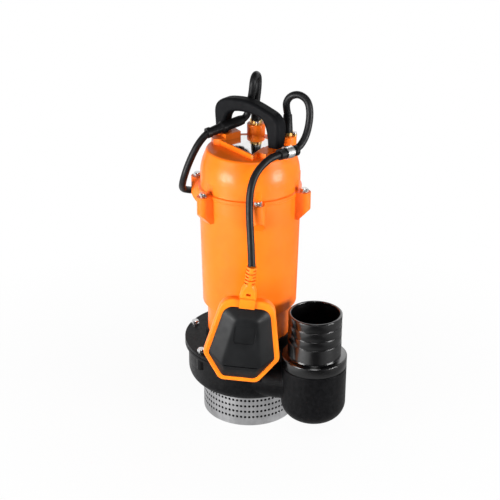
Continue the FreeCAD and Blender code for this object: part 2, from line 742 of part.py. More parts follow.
def rod(a, b, r):
    a, b = V(*a), V(*b)
    return Part.makeCylinder(r, (b - a).Length, a, b - a)


def along(ends, stations):
    """Round body on the line between two ends, from (distance, radius) stations."""
    a, b = V(*ends[0]), V(*ends[1])
    profile = [(0, stations[0][0])] + [(r, d) for d, r in stations] + [(0, stations[-1][0])]
    body = turned(profile)
    body.Placement = FreeCAD.Placement(a, FreeCAD.Rotation(V(0, 0, 1), b - a))
    return body


def power_cord_sleeve():
    length = (V(*power_sleeve[1]) - V(*power_sleeve[0])).Length
    ring_at = sleeve_ring_share * length
    ring_end = ring_at + sleeve_ring_l
    stations = [(0, sleeve_end_r), (sleeve_ring_l, sleeve_end_r), (sleeve_ring_l, sleeve_waist_r),
                (ring_at - 3.0, sleeve_body_r), (ring_at, sleeve_r), (ring_end, sleeve_r),
                (ring_end, sleeve_body_r), (length - sleeve_ring_l, sleeve_body_r),
                (length, sleeve_body_r - 0.8)]
    return along(power_sleeve, stations)


def float_cord_sleeve():
    length = (V(*float_sleeve[1]) - V(*float_sleeve[0])).Length
    neck_r = float_sleeve_r - 0.8
    stations = []
    for at in (0.0, length / 2 - sleeve_ring_l / 2, length - sleeve_ring_l):
        end = at + sleeve_ring_l
        stations += [(at, neck_r), (at, float_sleeve_r), (end, float_sleeve_r), (end, neck_r)]
    return along(float_sleeve, stations[1:-1])


def sleeve_band():
    a, b = V(*float_sleeve[0]), V(*float_sleeve[1])
    axis = (b - a).normalize()
    middle = (a + b) / 2
    start = middle - axis * (band_w / 2)
    r_in = float_sleeve_r
    loop = Part.makeCylinder(r_in + band_t, band_w, start, axis)
    loop = loop.cut(Part.makeCylinder(r_in, 3 * band_w, start - axis * band_w, axis))
    tab = Part.makeBox(band_tab_l, band_w, band_t,
                       V(band_screw_s - band_tab_lead, band_screw_side, cover_top_z))
    tab = foot_frame(tab)
    tab = tab.cut(Part.makeCylinder(r_in + 0.1, 3 * band_w, start - axis * band_w, axis))
    side = band_screw_side + band_w / 2
    shank_r = gland_screw_r + 0.4
    head_r = gland_screw_head_r + 0.6
    head_low = cover_top_z + band_t
    hole = foot_frame(cyl(shank_r + fit_gap, cover_top_z - 30, cover_top_z + 20, band_screw_s, side))
    shank = cyl(shank_r, cover_top_z - cover_roof_h, head_low, band_screw_s, side)
    head = cyl(head_r, head_low, head_low + gland_screw_head_h, band_screw_s, side)
    roof = turned([(0, cover_shoulder_z), (cover_r, cover_shoulder_z), (cover_top_r, cover_top_z),
                   (0, cover_top_z)])
    return joined([loop, tab]).cut(hole).cut(roof), foot_frame(joined([shank, head]))


def biarc(p0, t0, p1, t1):
    """Two arcs from p0 to p1 with the tangents t0 and t1."""
    v = p1 - p0
    t = t0 + t1
    across = 2 * (1 - t0.dot(t1))
    if across < 1e-9:
        d = v.dot(v) / (4 * v.dot(t0))
    else:
        d = (-v.dot(t) + math.sqrt(v.dot(t) ** 2 + across * v.dot(v))) / across
    middle = (p0 + p1 + (t0 - t1) * d) / 2
    return tangent_arc(p0, t0, middle) + tangent_arc(middle, None, p1, t1)


def tangent_arc(a, ta, b, tb=None):
    chord = b - a
    start = ta if ta is not None else chord.normalize() * 2 * (b - a).normalize().dot(tb) - tb
    if start.getAngle(b - a) < 1e-6:
        return [Part.LineSegment(a, b).toShape()]
    across = (b - a)
    normal = start.cross(across).normalize()
    inward = normal.cross(start)
    radius = across.dot(across) / (2 * across.dot(inward))
    centre = a + inward * radius
    out = ((a + b) / 2 - centre).normalize()
    return [Part.Arc(a, centre + out * radius, b).toShape()]


def wound(at, turns, per_turn=4):
    """Wire of biarcs along the curve that at(turn) gives."""
    step = 1.0 / per_turn
    small = 1e-3
    stations = []
    for i in range(int(round(turns * per_turn)) + 1):
        k = i * step
        tangent = (at(k + small) - at(k - small)).normalize()
        stations.append((at(k), tangent))
    edges = []
    for (p0, t0), (p1, t1) in zip(stations, stations[1:]):
        edges += biarc(p0, t0, p1, t1)
    return Part.Wire(edges)


def coil_point(k):
    """Centre line of the put-away coil after k turns, from the outer turn on the floor."""
    per_layer = coil_turns / coil_layers
    layer = min(max(int(math.floor(k / per_layer)), 0), coil_layers - 1)
    along = k - layer * per_layer
    inward = along if layer % 2 == 0 else per_layer - along
    r = coil_outer_r - coil_pitch * inward
    to_change = k - round(k / per_layer) * per_layer
    change = int(round(k / per_layer))
    z = cord_d / 2 + tie_t + 0.2
    if 0 < change < coil_layers and abs(to_change) < 0.25:
        z += coil_rise * (change - 0.5 + 0.5 * math.sin(to_change * 2 * math.pi))
    else:
        z += coil_rise * layer
    angle = math.pi + 2 * math.pi * k
    return V(coil_centre[0] + r * math.cos(angle), coil_centre[1] + r * math.sin(angle), z)


def self_gap(at, turns, r, per_turn=72):
    points = [at(i / per_turn) for i in range(int(turns * per_turn) + 1)]
    least = 1e9
    for i, p in enumerate(points):
        for q in points[i + per_turn // 2:]:
            d = p.distanceToPoint(q)
            if d < least:
                least = d
    return least - 2 * r


def coil():
    wire = wound(coil_point, coil_turns)
    tube = round_tube(wire, cord_d / 2)
    expected = math.pi * (cord_d / 2) ** 2 * wire.Length
    print("power_cord_coil length %.0f" % wire.Length, "volume ratio %.4f" % (tube.Volume / expected),
          "least gap %.2f" % self_gap(coil_point, coil_turns, cord_d / 2))
    top = tie_t + 0.4 + cord_d + coil_rise * (coil_layers - 1) + 0.6
    ties = []
    for angle in tie_angles:
        first = (angle - 180.0) / 360.0 % 1.0
        radii = [coil_point(first + i).distanceToPoint(V(*coil_centre, coil_point(first + i).z))
                 for i in range(coil_turns)]
        inner = min(radii) - cord_d / 2 - 0.5
        outer = max(radii) + cord_d / 2 + 0.5
        band = Part.makeBox(outer - inner + 2 * tie_t, tie_w, top + tie_t - 0.1,
                            V(inner - tie_t, -tie_w / 2, 0.1))
        upright = [e for e in band.Edges if e.BoundBox.YMax - e.BoundBox.YMin > tie_w - 0.1]
        band = band.makeFillet(3.0, upright)
        window = Part.makeBox(outer - inner, 2 * tie_w, top - tie_t - 0.1, V(inner, -tie_w, 0.1 + tie_t))
        upright = [e for e in window.Edges if e.BoundBox.YMax - e.BoundBox.YMin > tie_w]
        band = band.cut(window.makeFillet(1.8, upright))
        head = Part.makeBox(*tie_head, V(outer - 16, -tie_head[1] / 2, top))
        band = band.fuse(head).removeSplitter()
        band.rotate(V(0, 0, 0), V(0, 0, 1), angle)
        band.translate(V(coil_centre[0], coil_centre[1], 0))
        ties.append(band)
    return tube, group(ties)


def plug():
    x = coil_centre[0] - coil_outer_r
    y = coil_centre[1]
    z = cord_d / 2 + tie_t + 0.2
    lead = 1.2 * cord_d
    tail = rod((x, y, z), (x, y + lead, z), cord_d / 2)
    relief = Part.makeCone(cord_d / 2 + 0.4, z - 0.1, plug_relief_l, V(x, y + lead, z), V(0, 1, 0))
    low = y + lead + plug_relief_l
    body = Part.makeBox(plug_w, plug_l, plug_t, V(x - plug_w / 2, low, z - plug_t / 2))
    body = body.makeFillet(4.0, [e for e in body.Edges if e.BoundBox.YMax - e.BoundBox.YMin > plug_l - 0.1])
    pins = []
    for side in (-0.5, 0.5):
        px = x + side * pin_spacing
        pins.append(rod((px, low + plug_l - 6, z), (px, low + plug_l + pin_l, z), pin_r))
    body = joined([relief, body])
    for pin in pins:
        body = body.cut(pin)
    return tail, group([body] + pins)


def bearing(z):
    middle = z + bearing_h / 2
    groove = Part.makeTorus(ball_track_r, ball_r + ball_play, V(0, 0, middle))
    outer = ring(bearing_r, outer_ring_bore_r, z, z + bearing_h).cut(groove)
    inner = ring(inner_ring_r, shaft_r, z, z + bearing_h).cut(groove)
    places = around(ball_track_r, ball_count, 10.0)
    balls = [Part.makeSphere(ball_r, V(x, y, middle)) for x, y in places]
    cage = ring(outer_ring_bore_r - 0.6, inner_ring_r + 0.6, middle - 2.4, middle + 2.4)
    for x, y in places:
        cage = cage.cut(Part.makeSphere(ball_r + 0.03, V(x, y, middle)))
    return outer, inner, balls, cage


def impeller():
    low = strainer_h + suction_plate_h + vane_gap
    plate_top = impeller_plate_z + impeller_plate_h
    spring_foot = seal_face_z - seal_play - seal_ring_h - spring_h
    plate = cyl(impeller_r, impeller_plate_z, plate_top)
    hub = cyl(hub_r, low + nut_h + 4, spring_foot)
    vanes = []
    for i in range(vane_count):
        sweep_r = impeller_r * 0.62
        curve = ring(sweep_r + vane_t / 2, sweep_r - vane_t / 2, low, impeller_plate_z + 0.5, sweep_r - 4, 0)
        half = Part.makeBox(200, 200, 200, V(-100, 0, 0))
        vane = curve.common(half).common(cyl(impeller_r, low, plate_top))
        vane = vane.cut(cyl(hub_r - 2, low - 1, plate_top + 1))
        vane.rotate(V(0, 0, 0), V(0, 0, 1), 360.0 * i / vane_count)
        vanes.append(vane)
    body = joined([plate, hub] + vanes)
    return body.cut(cyl(shaft_r, low - 5, spring_foot + 5))


def rotating():
    low = strainer_h + suction_plate_h + vane_gap
    top = bearing_high_z + bearing_h + 3
    shaft = cyl(shaft_r, shaft_low_z, top)
    nut_low = low + 4
    nut = hexagon(nut_af, nut_low, nut_low + nut_h).cut(cyl(shaft_r, low - 5, low + 20))
    core = cyl(rotor_r, stack_low_z, stack_low_z + stack_h)
    ends = [cyl(rotor_r - 5, stack_low_z - end_ring_h, stack_low_z),
            cyl(rotor_r - 5, stack_low_z + stack_h, stack_low_z + stack_h + end_ring_h)]
    core = joined([core] + ends).cut(cyl(shaft_r, stack_low_z - 50, stack_low_z + stack_h + 50))
    face = seal_face_z - seal_play
    seal = ring(seal_ring_r, shaft_r, face - seal_ring_h, face)
    foot = face - seal_ring_h - spring_h
    height = spring_h - 2 * spring_wire_r

    def turn(k):
        a = 2 * math.pi * k
        z = foot + spring_wire_r + height * k / spring_turns
        return V(spring_r * math.cos(a), spring_r * math.sin(a), z)
    spring = round_tube(wound(turn, spring_turns), spring_wire_r)
    return {"motor_shaft": shaft, "impeller_nut": nut, "rotor_core": core, "rotating_seal": seal,
            "seal_spring": spring, "impeller": impeller()}


def stator():
    core = ring(housing_bore_r, rotor_r + air_gap, stack_low_z, stack_low_z + stack_h)
    slots = []
    for i in range(stator_slots):
        slot = Part.makeBox(stator_slot_l, stator_slot_w, stack_h + 2,
                            V(rotor_r + air_gap + stator_lip, -stator_slot_w / 2, stack_low_z - 1))
        slot.rotate(V(0, 0, 0), V(0, 0, 1), 360.0 * i / stator_slots)
        slots.append(slot)
    core = core.cut(group(slots))
    windings = []
    for low in (stack_low_z - winding_h, stack_low_z + stack_h):
        coil_ring = ring(winding_out_r, winding_in_r, low, low + winding_h)
        windings.append(coil_ring.makeFillet(5.0, coil_ring.Edges))
    hub_low = bearing_high_z - 4
    top = bearing_high_z + bearing_h + 3
    bracket = joined([ring(housing_bore_r, bearing_r, bearing_high_z + 3, top),
                      ring(bearing_r + 6, bearing_r, hub_low, top)])
    holes = [cyl(7.0, hub_low - 1, top + 1, *place) for place in around(43.0, 4, 0.0)]
    bracket = bracket.cut(group(holes))
    return {"stator_core": core, "stator_windings": group(windings), "upper_bearing_bracket": bracket}


def electrics():
    floor_z = bearing_high_z + bearing_h + 3
    can = Part.makeCylinder(14, 66, V(-33, -26, floor_z + 14), V(1, 0, 0))
    block = Part.makeBox(44, 18, 15, V(-22, 12, floor_z))
    for i in range(4):
        block = block.cut(cyl(2.6, floor_z + 6, floor_z + 20, -16.5 + 11 * i, 21))
    return {"capacitor": can, "terminal_block": block}


def inset(corners, distance):
    """Corners of a convex outline, given clockwise, moved inwards by a distance."""
    lines = []
    for (ax, ay), (bx, by) in zip(corners, corners[1:] + corners[:1]):
        length = math.hypot(bx - ax, by - ay)
        nx, ny = (by - ay) / length, -(bx - ax) / length
        lines.append((nx, ny, nx * ax + ny * ay + distance))
    moved = []
    for (a, b, c), (d, e, f) in zip(lines[-1:] + lines[:-1], lines):
        det = a * e - b * d
        moved.append(((c * e - b * f) / det, (a * f - c * d) / det))
    return moved


def upright_wire(corners, depth):
    points = [V(u, depth, v) for u, v in corners]
    return Part.makePolygon(points + points[:1])


def upright_prism(corners, low, high):
    return Part.Face(upright_wire(corners, low)).extrude(V(0, high - low, 0))


def float_frame(shape):
    """Place a shape drawn upright about its middle where the float hangs."""
    placed = shape.copy()
    placed.rotate(V(0, 0, 0), V(0, 1, 0), float_lean_deg)
    placed.translate(V(float_x, float_y, float_z))
    return placed


def rounded(shape, less=0.0):
    """Round the edges that run along the depth of the float."""
    edges = [e for e in shape.Edges if e.BoundBox.XLength < 0.01 and e.BoundBox.ZLength < 0.01]
    shape = shape.makeFillet(float_corner_r - less, [e for e in edges if e.BoundBox.ZMin < 0])
    edges = [e for e in shape.Edges if e.BoundBox.XLength < 0.01 and e.BoundBox.ZLength < 0.01]
    return shape.makeFillet(float_shoulder_r - less, [e for e in edges if e.BoundBox.ZMin > 0])


def float_shells():
    right = list(float_outline)
    outline = right + [(-u, v) for u, v in reversed(right)]
    half = float_frame_t / 2
    (top_u, top_v), (wide_u, wide_v) = right[:2]
    share = float_brow / (top_v - wide_v)
    under = [(top_u + (wide_u - top_u) * share, top_v - float_brow)] + right[1:]
    opening = inset(under + [(-u, v) for u, v in reversed(under)], float_rim_w)
    rim = rounded(upright_prism(outline, -half, half))
    flat = [e for e in rim.Edges if e.BoundBox.YLength < 0.01]
    rim = rim.makeFillet(float_edge_round, flat)
    window = rounded(upright_prism(opening, -half - 1, half + 1), float_inner_less)
    frame = rim.cut(window)
    face = list(float_face) + [(-u, v) for u, v in reversed(float_face)]
    inner = inset(opening, float_wall)
    inner_face = inset(face, float_wall)
    covers = []
    for side in (-1, 1):
        ends = [upright_wire(opening, side * half), upright_wire(face, side * (half + cover_rise))]
        rise = Part.makeLoft(ends, True, True)
        skirt = upright_prism(opening, 0, side * half)
        clip = rounded(upright_prism(opening, -half - cover_rise, half + cover_rise), float_inner_less)
        face_y = side * (half + cover_rise)
        crest = [e for e in rise.Edges if abs(e.BoundBox.YMax - face_y) < 0.01 and e.BoundBox.YLength < 0.01]
        rise = rise.makeFillet(cover_soft, crest)
        panel = Part.makeBox(panel_w, 2 * panel_deep, panel_h,
                             V(-panel_w / 2, face_y - panel_deep, panel_low_v))
        shell = skirt.fuse(rise).removeSplitter().common(clip).cut(panel)
        hollow = upright_prism(inner, 0, side * half)
        reach = side * (half + cover_rise - float_wall)
        ends = [upright_wire(inner, side * half), upright_wire(inner_face, reach)]
        hollow_rise = Part.makeLoft(ends, True, True)
        covers.append(shell.cut(hollow.fuse(hollow_rise)))
    return frame, covers[0], covers[1]


def float_boot(frame, covers):
    half = float_frame_t / 2
    profile = [(0, boot_low_v), (boot_foot_r, boot_low_v), (boot_foot_r, boot_low_v + 4),
               (boot_hip_r, boot_hip_v), (boot_neck_r, boot_neck_v), (boot_tip_r, boot_high_v),
               (0, boot_high_v)]
    body = turned(profile).common(Part.makeBox(4 * boot_foot_r, float_frame_t, boot_high_v,
                                               V(-2 * boot_foot_r, -half, 0)))
    for i in range(boot_slot_count):
        z = boot_high_v - boot_top_margin - i * boot_slot_pitch
        slot = ring(boot_foot_r + 2, boot_neck_r - boot_slot_deep, z - boot_slot_w, z)
        if i % 2 == 0:
            slot = slot.cut(Part.makeBox(2 * boot_rib_half, 4 * boot_foot_r, boot_slot_w,
                                         V(-boot_rib_half, -2 * boot_foot_r, z - boot_slot_w)))
        body = body.cut(slot)
    reach = half + boot_tongue_t
    tongue = Part.makeBox(boot_tongue_w, 2 * reach, boot_tongue_h + 3,
                          V(-boot_tongue_w / 2, -reach, boot_low_v - boot_tongue_h))
    tongue = rounded_ends(tongue, boot_tongue_t)
    eye = Part.makeBox(boot_eye_w, 4 * half, boot_eye_h, V(-boot_eye_w / 2, -2 * half, boot_eye_v))
    body = joined([body, tongue]).cut(eye)
    body.translate(V(boot_u, 0, 0))
    body = body.cut(frame)
    for cover in covers:
        body = body.cut(cover)
    return max(body.Solids, key=lambda piece: piece.Volume)


def rounded_ends(box, radius):
    """Round the edges of a block that run across its width."""
    edges = [e for e in box.Edges if e.BoundBox.YLength < 0.01 and e.BoundBox.ZLength < 0.01]
    return box.makeFillet(radius * 0.8, edges)


def float_insides():
    low = ball_guide_low_v
    top = low + ball_guide_h
    guide = ring(ball_guide_r + ball_guide_wall, ball_guide_r, low, top)
    floor = cyl(ball_guide_r + ball_guide_wall, low - ball_guide_wall, low)
    reach = float_frame_t / 2 + cover_rise - float_wall
    rib = Part.makeBox(ball_guide_wall, 2 * reach, ball_guide_h - 8, V(-ball_guide_wall / 2, -reach, low + 2))
    rib = rib.cut(cyl(ball_guide_r + 0.5, low - 5, top + 5))
    guide = joined([guide, floor, rib])
    ball = Part.makeSphere(ball_weight_r, V(0, 0, low + ball_weight_r + 0.05))
    w, d, h = switch_size
    body = Part.makeBox(w, d, h, V(-w / 2, -d / 2, switch_v))
    plate = Part.makeBox(w, 1.6, switch_v + h - top + 12, V(-w / 2, ball_guide_r + 0.2, top - 12))
    hinge_u, hinge_v = -w / 2 + 1.5, switch_v - 2.6
    lever = Part.makeBox(lever_l, lever_w, lever_t, V(hinge_u, -lever_w / 2, hinge_v))
    pin = Part.makeCylinder(0.9, lever_w, V(hinge_u, -lever_w / 2, hinge_v + lever_t / 2), V(0, 1, 0))
    ear_ys = (lever_w / 2 + 0.2, -lever_w / 2 - 1.4)
    ears = [Part.makeBox(3.2, 1.2, 3.5, V(-w / 2, y, switch_v - 3.5)) for y in ear_ys]
    body = joined([body, plate] + ears).cut(guide)
    return guide, ball, body, joined([lever, pin])


def cover_joint_parts():
    cover, cover_bolts, cover_washers = top_cover()
    grip, grip_screws, grip_holes = handle()
    band, band_screw = sleeve_band()
    cover = cover.cut(group(grip_holes + [band_screw]))
    nodes = {"handle": grip, "handle_screws": grip_screws, "float_cord_clip": band}
    screws = [band_screw]
    for name, place, turn in (("power", power_gland, 100.0), ("float", float_gland, -20.0)):
        plate, own, relief = gland(place[0], place[1], turn)
        cover = cover.cut(group(own)).cut(relief)
        nodes[name + "_gland_plate"] = plate
        nodes[name + "_cord_relief"] = relief
        screws += own
    nodes["clamp_screws"] = group(screws)
    nodes["top_cover"] = cover
    nodes["cover_bolts"] = group(cover_bolts)
    nodes["top_plate"] = plates()
    return nodes, cover_washers


def build():
    nodes = strainer()
    nodes["volute_casing"] = casing()
    more, low_washers = lid_and_bolts()
    nodes.update(more)
    nodes.update(hose_tail())
    nodes.update(seal_chamber())
    nodes.update(motor_housing())
    more, high_washers = cover_joint_parts()
    nodes.update(more)
    nodes["spring_washers"] = group(low_washers + high_washers)
    nodes.update(rotating())
    nodes.update(stator())
    nodes.update(electrics())
    rings = [bearing(bearing_low_z), bearing(bearing_high_z)]
    nodes["bearing_outer_rings"] = group([r[0] for r in rings])
    nodes["bearing_inner_rings"] = group([r[1] for r in rings])
    nodes["bearing_balls"] = group(rings[0][2] + rings[1][2])
    nodes["bearing_cages"] = group([r[3] for r in rings])
    nodes["power_cord_sleeve"] = power_cord_sleeve()
    nodes["float_cord_sleeve"] = float_cord_sleeve()
    nodes["power_cord_hump"] = cord("power_cord_hump", power_hump)
    nodes["power_cord_drop"] = cord("power_cord_drop", power_drop)
    nodes["float_cord_loop"] = cord("float_cord_loop", float_loop)
    nodes["float_cord_hang"] = cord("float_cord_hang", float_hang)
    nodes["power_cord_coil"], nodes["coil_ties"] = coil()
    nodes["power_cord_end"], nodes["power_plug"] = plug()
    frame, front, back = float_shells()
    nodes["float_frame"] = float_frame(frame)
    nodes["float_front_cover"] = float_frame(front)
    nodes["float_back_cover"] = float_frame(back)
    nodes["float_boot"] = float_frame(float_boot(frame, (front, back)))
    guide, ball, switch, lever = float_insides()
    nodes["float_ball_guide"] = float_frame(guide)
    nodes["float_ball"] = float_frame(ball)
    nodes["float_switch"] = float_frame(switch)
    nodes["switch_lever"] = float_frame(lever)
    return nodes


def main():
    nodes = build()
    for name, shape in nodes.items():
        shape.exportStep("parts/%s.step" % name)
    print(len(nodes), "nodes")


main()
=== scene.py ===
import bpy
import json
import math
from mathutils import Vector, Matrix


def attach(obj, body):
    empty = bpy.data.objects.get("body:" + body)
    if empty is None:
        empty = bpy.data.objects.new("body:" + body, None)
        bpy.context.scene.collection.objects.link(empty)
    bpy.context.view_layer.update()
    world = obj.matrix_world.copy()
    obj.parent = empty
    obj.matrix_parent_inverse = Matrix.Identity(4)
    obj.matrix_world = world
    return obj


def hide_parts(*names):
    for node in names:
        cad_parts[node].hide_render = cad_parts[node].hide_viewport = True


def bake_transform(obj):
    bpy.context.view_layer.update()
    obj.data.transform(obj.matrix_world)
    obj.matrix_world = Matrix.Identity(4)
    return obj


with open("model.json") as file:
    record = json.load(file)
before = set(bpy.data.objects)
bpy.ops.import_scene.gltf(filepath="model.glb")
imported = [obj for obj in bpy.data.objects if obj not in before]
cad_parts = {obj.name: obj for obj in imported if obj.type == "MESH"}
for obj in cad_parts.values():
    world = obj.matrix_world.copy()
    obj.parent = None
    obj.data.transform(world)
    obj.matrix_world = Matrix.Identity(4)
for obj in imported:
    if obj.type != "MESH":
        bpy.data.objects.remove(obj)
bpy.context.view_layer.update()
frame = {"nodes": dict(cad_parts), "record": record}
bpy.ops.object.select_all(action='DESELECT')
scene = bpy.context.scene
nodes = frame["nodes"]
print("frame loaded:", len(nodes), "nodes")


# Camera, floor and lamps

view = {"place": (0.0, -1.553, 0.963), "downDeg": 24.65, "turnDeg": -0.01, "rollDeg": 0.21, "lens": 86.4}


def addCamera():
    data = bpy.data.cameras.new("camera")
    data.sensor_width = 36.0
    data.lens = view["lens"]  # 1200 px on a frame 500 px wide
    data.clip_start = 0.01
    camera = bpy.data.objects.new("camera", data)
    scene.collection.objects.link(camera)
    turn = Matrix.Rotation(math.radians(view["turnDeg"]), 4, 'Z')
    down = Matrix.Rotation(math.radians(90.0 - view["downDeg"]), 4, 'X')
    roll = Matrix.Rotation(math.radians(view["rollDeg"]), 4, 'Z')
    camera.matrix_world = Matrix.Translation(view["place"]) @ turn @ down @ roll
    scene.camera = camera


def addNode(tree, kind, inputs=None, **options):
    node = tree.nodes.new(kind)
    for key, value in options.items():
        setattr(node, key, value)
    for key, value in (inputs or {}).items():
        if isinstance(value, bpy.types.NodeSocket):
            tree.links.new(value, node.inputs[key])
        else:
            node.inputs[key].default_value = value
    return node


def reckon(tree, operation, a, b):
    return addNode(tree, 'ShaderNodeMath', {0: a, 1: b}, operation=operation).outputs[0]


def mapRange(tree, value, reach, ends):
    return addNode(tree, 'ShaderNodeMapRange', {"Value": value, "From Min": reach[0], "From Max": reach[1],
                                                "To Min": ends[0], "To Max": ends[1]}).outputs[0]


# how white floor and backdrop look, straight on and in reflections, and over which reach that changes
studio = {"floorSize": 9.0, "floorColour": (0.80, 0.80, 0.80), "ambient": 0.16, "lampTarget": (0.0, 0.0, 0.25),
          "whiteReach": (0.16, 0.62), "whiteShare": (0.93, 1.0), "glossPaper": 0.04,
          "closeReach": (0.28, 0.38), "closeGloss": (0.42, 0.03),
          "leftReach": (-0.16, -0.08), "leftGloss": (1.0, 0.0),
          "rightReach": (0.24, 0.36), "rightGloss": (0.0, 0.32),
          "depthReach": (-0.35, 0.55), "depthGloss": (0.03, 1.0),
          "heightReach": (0.50, 0.72), "heightGloss": (1.0, 0.05)}
# each lamp's place, size and power
lamps = {"keyLamp": ((-1.5, -1.1, 0.36), (0.9, 0.62), 54.0),
         "fillLamp": ((1.45, -0.75, 0.42), (0.7, 0.62), 32.0),
         "shoulderLamp": ((0.05, -1.3, 1.75), (0.6, 0.5), 8.0),
         "backLamp": ((0.75, 1.45, 1.0), (1.0, 1.2), 5.0)}


def addFloor():
    bpy.ops.mesh.primitive_plane_add(size=studio["floorSize"], location=(0, 0, 0))
    floor = bpy.context.object
    floor.name = "studioFloor"
    material = bpy.data.materials.new("floorPaper")
    material.use_nodes = True
    tree = material.node_tree
    tree.nodes.clear()
    out = addNode(tree, 'ShaderNodeOutputMaterial')
    path = addNode(tree, 'ShaderNodeLightPath')
    glossy = path.outputs["Is Glossy Ray"]
    seen = reckon(tree, 'MAXIMUM', path.outputs["Is Camera Ray"], path.outputs["Is Transmission Ray"])
    place = addNode(tree, 'ShaderNodeTexCoord').outputs["Object"]
    away = addNode(tree, 'ShaderNodeVectorMath', {0: place}, operation='LENGTH').outputs["Value"]
    straight = reckon(tree, 'MULTIPLY', seen, mapRange(tree, away, studio["whiteReach"], studio["whiteShare"]))
    # in reflections the paper is bright close by and to the left, grey to the right and dark in front
    across = addNode(tree, 'ShaderNodeSeparateXYZ', {0: place}).outputs["X"]
    left = mapRange(tree, across, studio["leftReach"], studio["leftGloss"])
    right = mapRange(tree, across, studio["rightReach"], studio["rightGloss"])
    close = mapRange(tree, away, studio["closeReach"], studio["closeGloss"])
    sheen = reckon(tree, 'MAXIMUM', reckon(tree, 'MAXIMUM', left, right), close)
    share = reckon(tree, 'MAXIMUM', straight, reckon(tree, 'MULTIPLY', glossy, sheen))
    dim = addNode(tree, 'ShaderNodeMix', {"Factor": glossy, "A": 1.0, "B": studio["glossPaper"]})
    colour = addNode(tree, 'ShaderNodeVectorMath', {0: studio["floorColour"], "Scale": dim.outputs[0]},
                     operation='SCALE')
    paper = addNode(tree, 'ShaderNodeBsdfDiffuse', {"Color": colour.outputs[0]})
    glow = addNode(tree, 'ShaderNodeEmission', {"Color": (1, 1, 1, 1), "Strength": 1.0})
    mix = addNode(tree, 'ShaderNodeMixShader', {0: share, 1: paper.outputs[0], 2: glow.outputs[0]})
    tree.links.new(mix.outputs[0], out.inputs["Surface"])
    floor.data.materials.append(material)


def addWorld():
    world = bpy.data.worlds.new("studioWorld")
    world.use_nodes = True
    scene.world = world
    tree = world.node_tree
    tree.nodes.clear()
    out = addNode(tree, 'ShaderNodeOutputWorld')
    path = addNode(tree, 'ShaderNodeLightPath')
    direction = addNode(tree, 'ShaderNodeTexCoord').outputs["Generated"]
    split = addNode(tree, 'ShaderNodeSeparateXYZ', {0: direction})
    back = mapRange(tree, split.outputs["Y"], studio["depthReach"], studio["depthGloss"])
    low = mapRange(tree, split.outputs["Z"], studio["heightReach"], studio["heightGloss"])
    skies = {"gloss": reckon(tree, 'MULTIPLY', back, low), "white": 1.0, "ambient": studio["ambient"]}
    for name, strength in skies.items():
        sky = addNode(tree, 'ShaderNodeBackground', {"Color": (1, 1, 1, 1), "Strength": strength})
        skies[name] = sky.outputs[0]
    first = addNode(tree, 'ShaderNodeMixShader',
                    {0: path.outputs["Is Glossy Ray"], 1: skies["ambient"], 2: skies["gloss"]})
    clear = reckon(tree, 'MAXIMUM', path.outputs["Is Camera Ray"], path.outputs["Is Transmission Ray"])
    second = addNode(tree, 'ShaderNodeMixShader', {0: clear, 1: first.outputs[0], 2: skies["white"]})
    tree.links.new(second.outputs[0], out.inputs["Surface"])


def addLamp(name, place, size, power):
    data = bpy.data.lights.new(name, 'AREA')
    data.shape = 'RECTANGLE'
    data.size, data.size_y = size
    data.energy = power
    lamp = bpy.data.objects.new(name, data)
    scene.collection.objects.link(lamp)
    lamp.location = place
    lamp.rotation_euler = (Vector(studio["lampTarget"]) - Vector(place)).to_track_quat('-Z', 'Y').to_euler()


addCamera()
addFloor()
addWorld()
for name, (place, size, power) in lamps.items():
    addLamp(name, place, size, power)
scene.view_settings.view_transform = 'Standard'
print("camera, floor and lamps placed")


# Finishes

def newFinish(name, rough, metal=0.0, coat=0.0, specular=0.5):
    material = bpy.data.materials.new(name)
    material.use_nodes = True
    shader = material.node_tree.nodes["Principled BSDF"]
    shader.inputs["Roughness"].default_value = rough
    shader.inputs["Metallic"].default_value = metal
    shader.inputs["Coat Weight"].default_value = coat
    shader.inputs["Specular IOR Level"].default_value = specular
    return material, material.node_tree, shader


def grain(tree, scale, detail=3.0, rough=0.5, stretch=(1, 1, 1)):
    place = addNode(tree, 'ShaderNodeTexCoord')
    spread = addNode(tree, 'ShaderNodeMapping', {"Vector": place.outputs["Object"], "Scale": stretch})
    noise = addNode(tree, 'ShaderNodeTexNoise',
                    {"Vector": spread.outputs[0], "Scale": scale, "Detail": detail, "Roughness": rough})
    return noise.outputs["Fac"]


def pits(tree, scale):
    place = addNode(tree, 'ShaderNodeTexCoord')
    cells = addNode(tree, 'ShaderNodeTexVoronoi', {"Vector": place.outputs["Object"], "Scale": scale})
    return cells.outputs["Distance"]


def tint(tree, shader, field, low, high, start=0.35, end=0.65):
    ramp = addNode(tree, 'ShaderNodeValToRGB', {"Fac": field})
    ramp.color_ramp.elements[0].position, ramp.color_ramp.elements[0].color = start, (*low, 1)
    ramp.color_ramp.elements[1].position, ramp.color_ramp.elements[1].color = end, (*high, 1)
    tree.links.new(ramp.outputs["Color"], shader.inputs["Base Color"])
    return ramp


def polish(tree, shader, field, low, high):
    tree.links.new(mapRange(tree, field, (0.3, 0.7), (low, high)), shader.inputs["Roughness"])


def relief(tree, shader, *layers, edge=0.0):
    normal = None
    if edge:  # softens the hard edges
        normal = addNode(tree, 'ShaderNodeBevel', {"Radius": edge}, samples=4).outputs[0]
    for field, depth, strength in layers:
        bump = addNode(tree, 'ShaderNodeBump', {"Height": field, "Distance": depth, "Strength": strength})
        if normal:
            tree.links.new(normal, bump.inputs["Normal"])
        normal = bump.outputs[0]
    tree.links.new(normal, shader.inputs["Normal"])


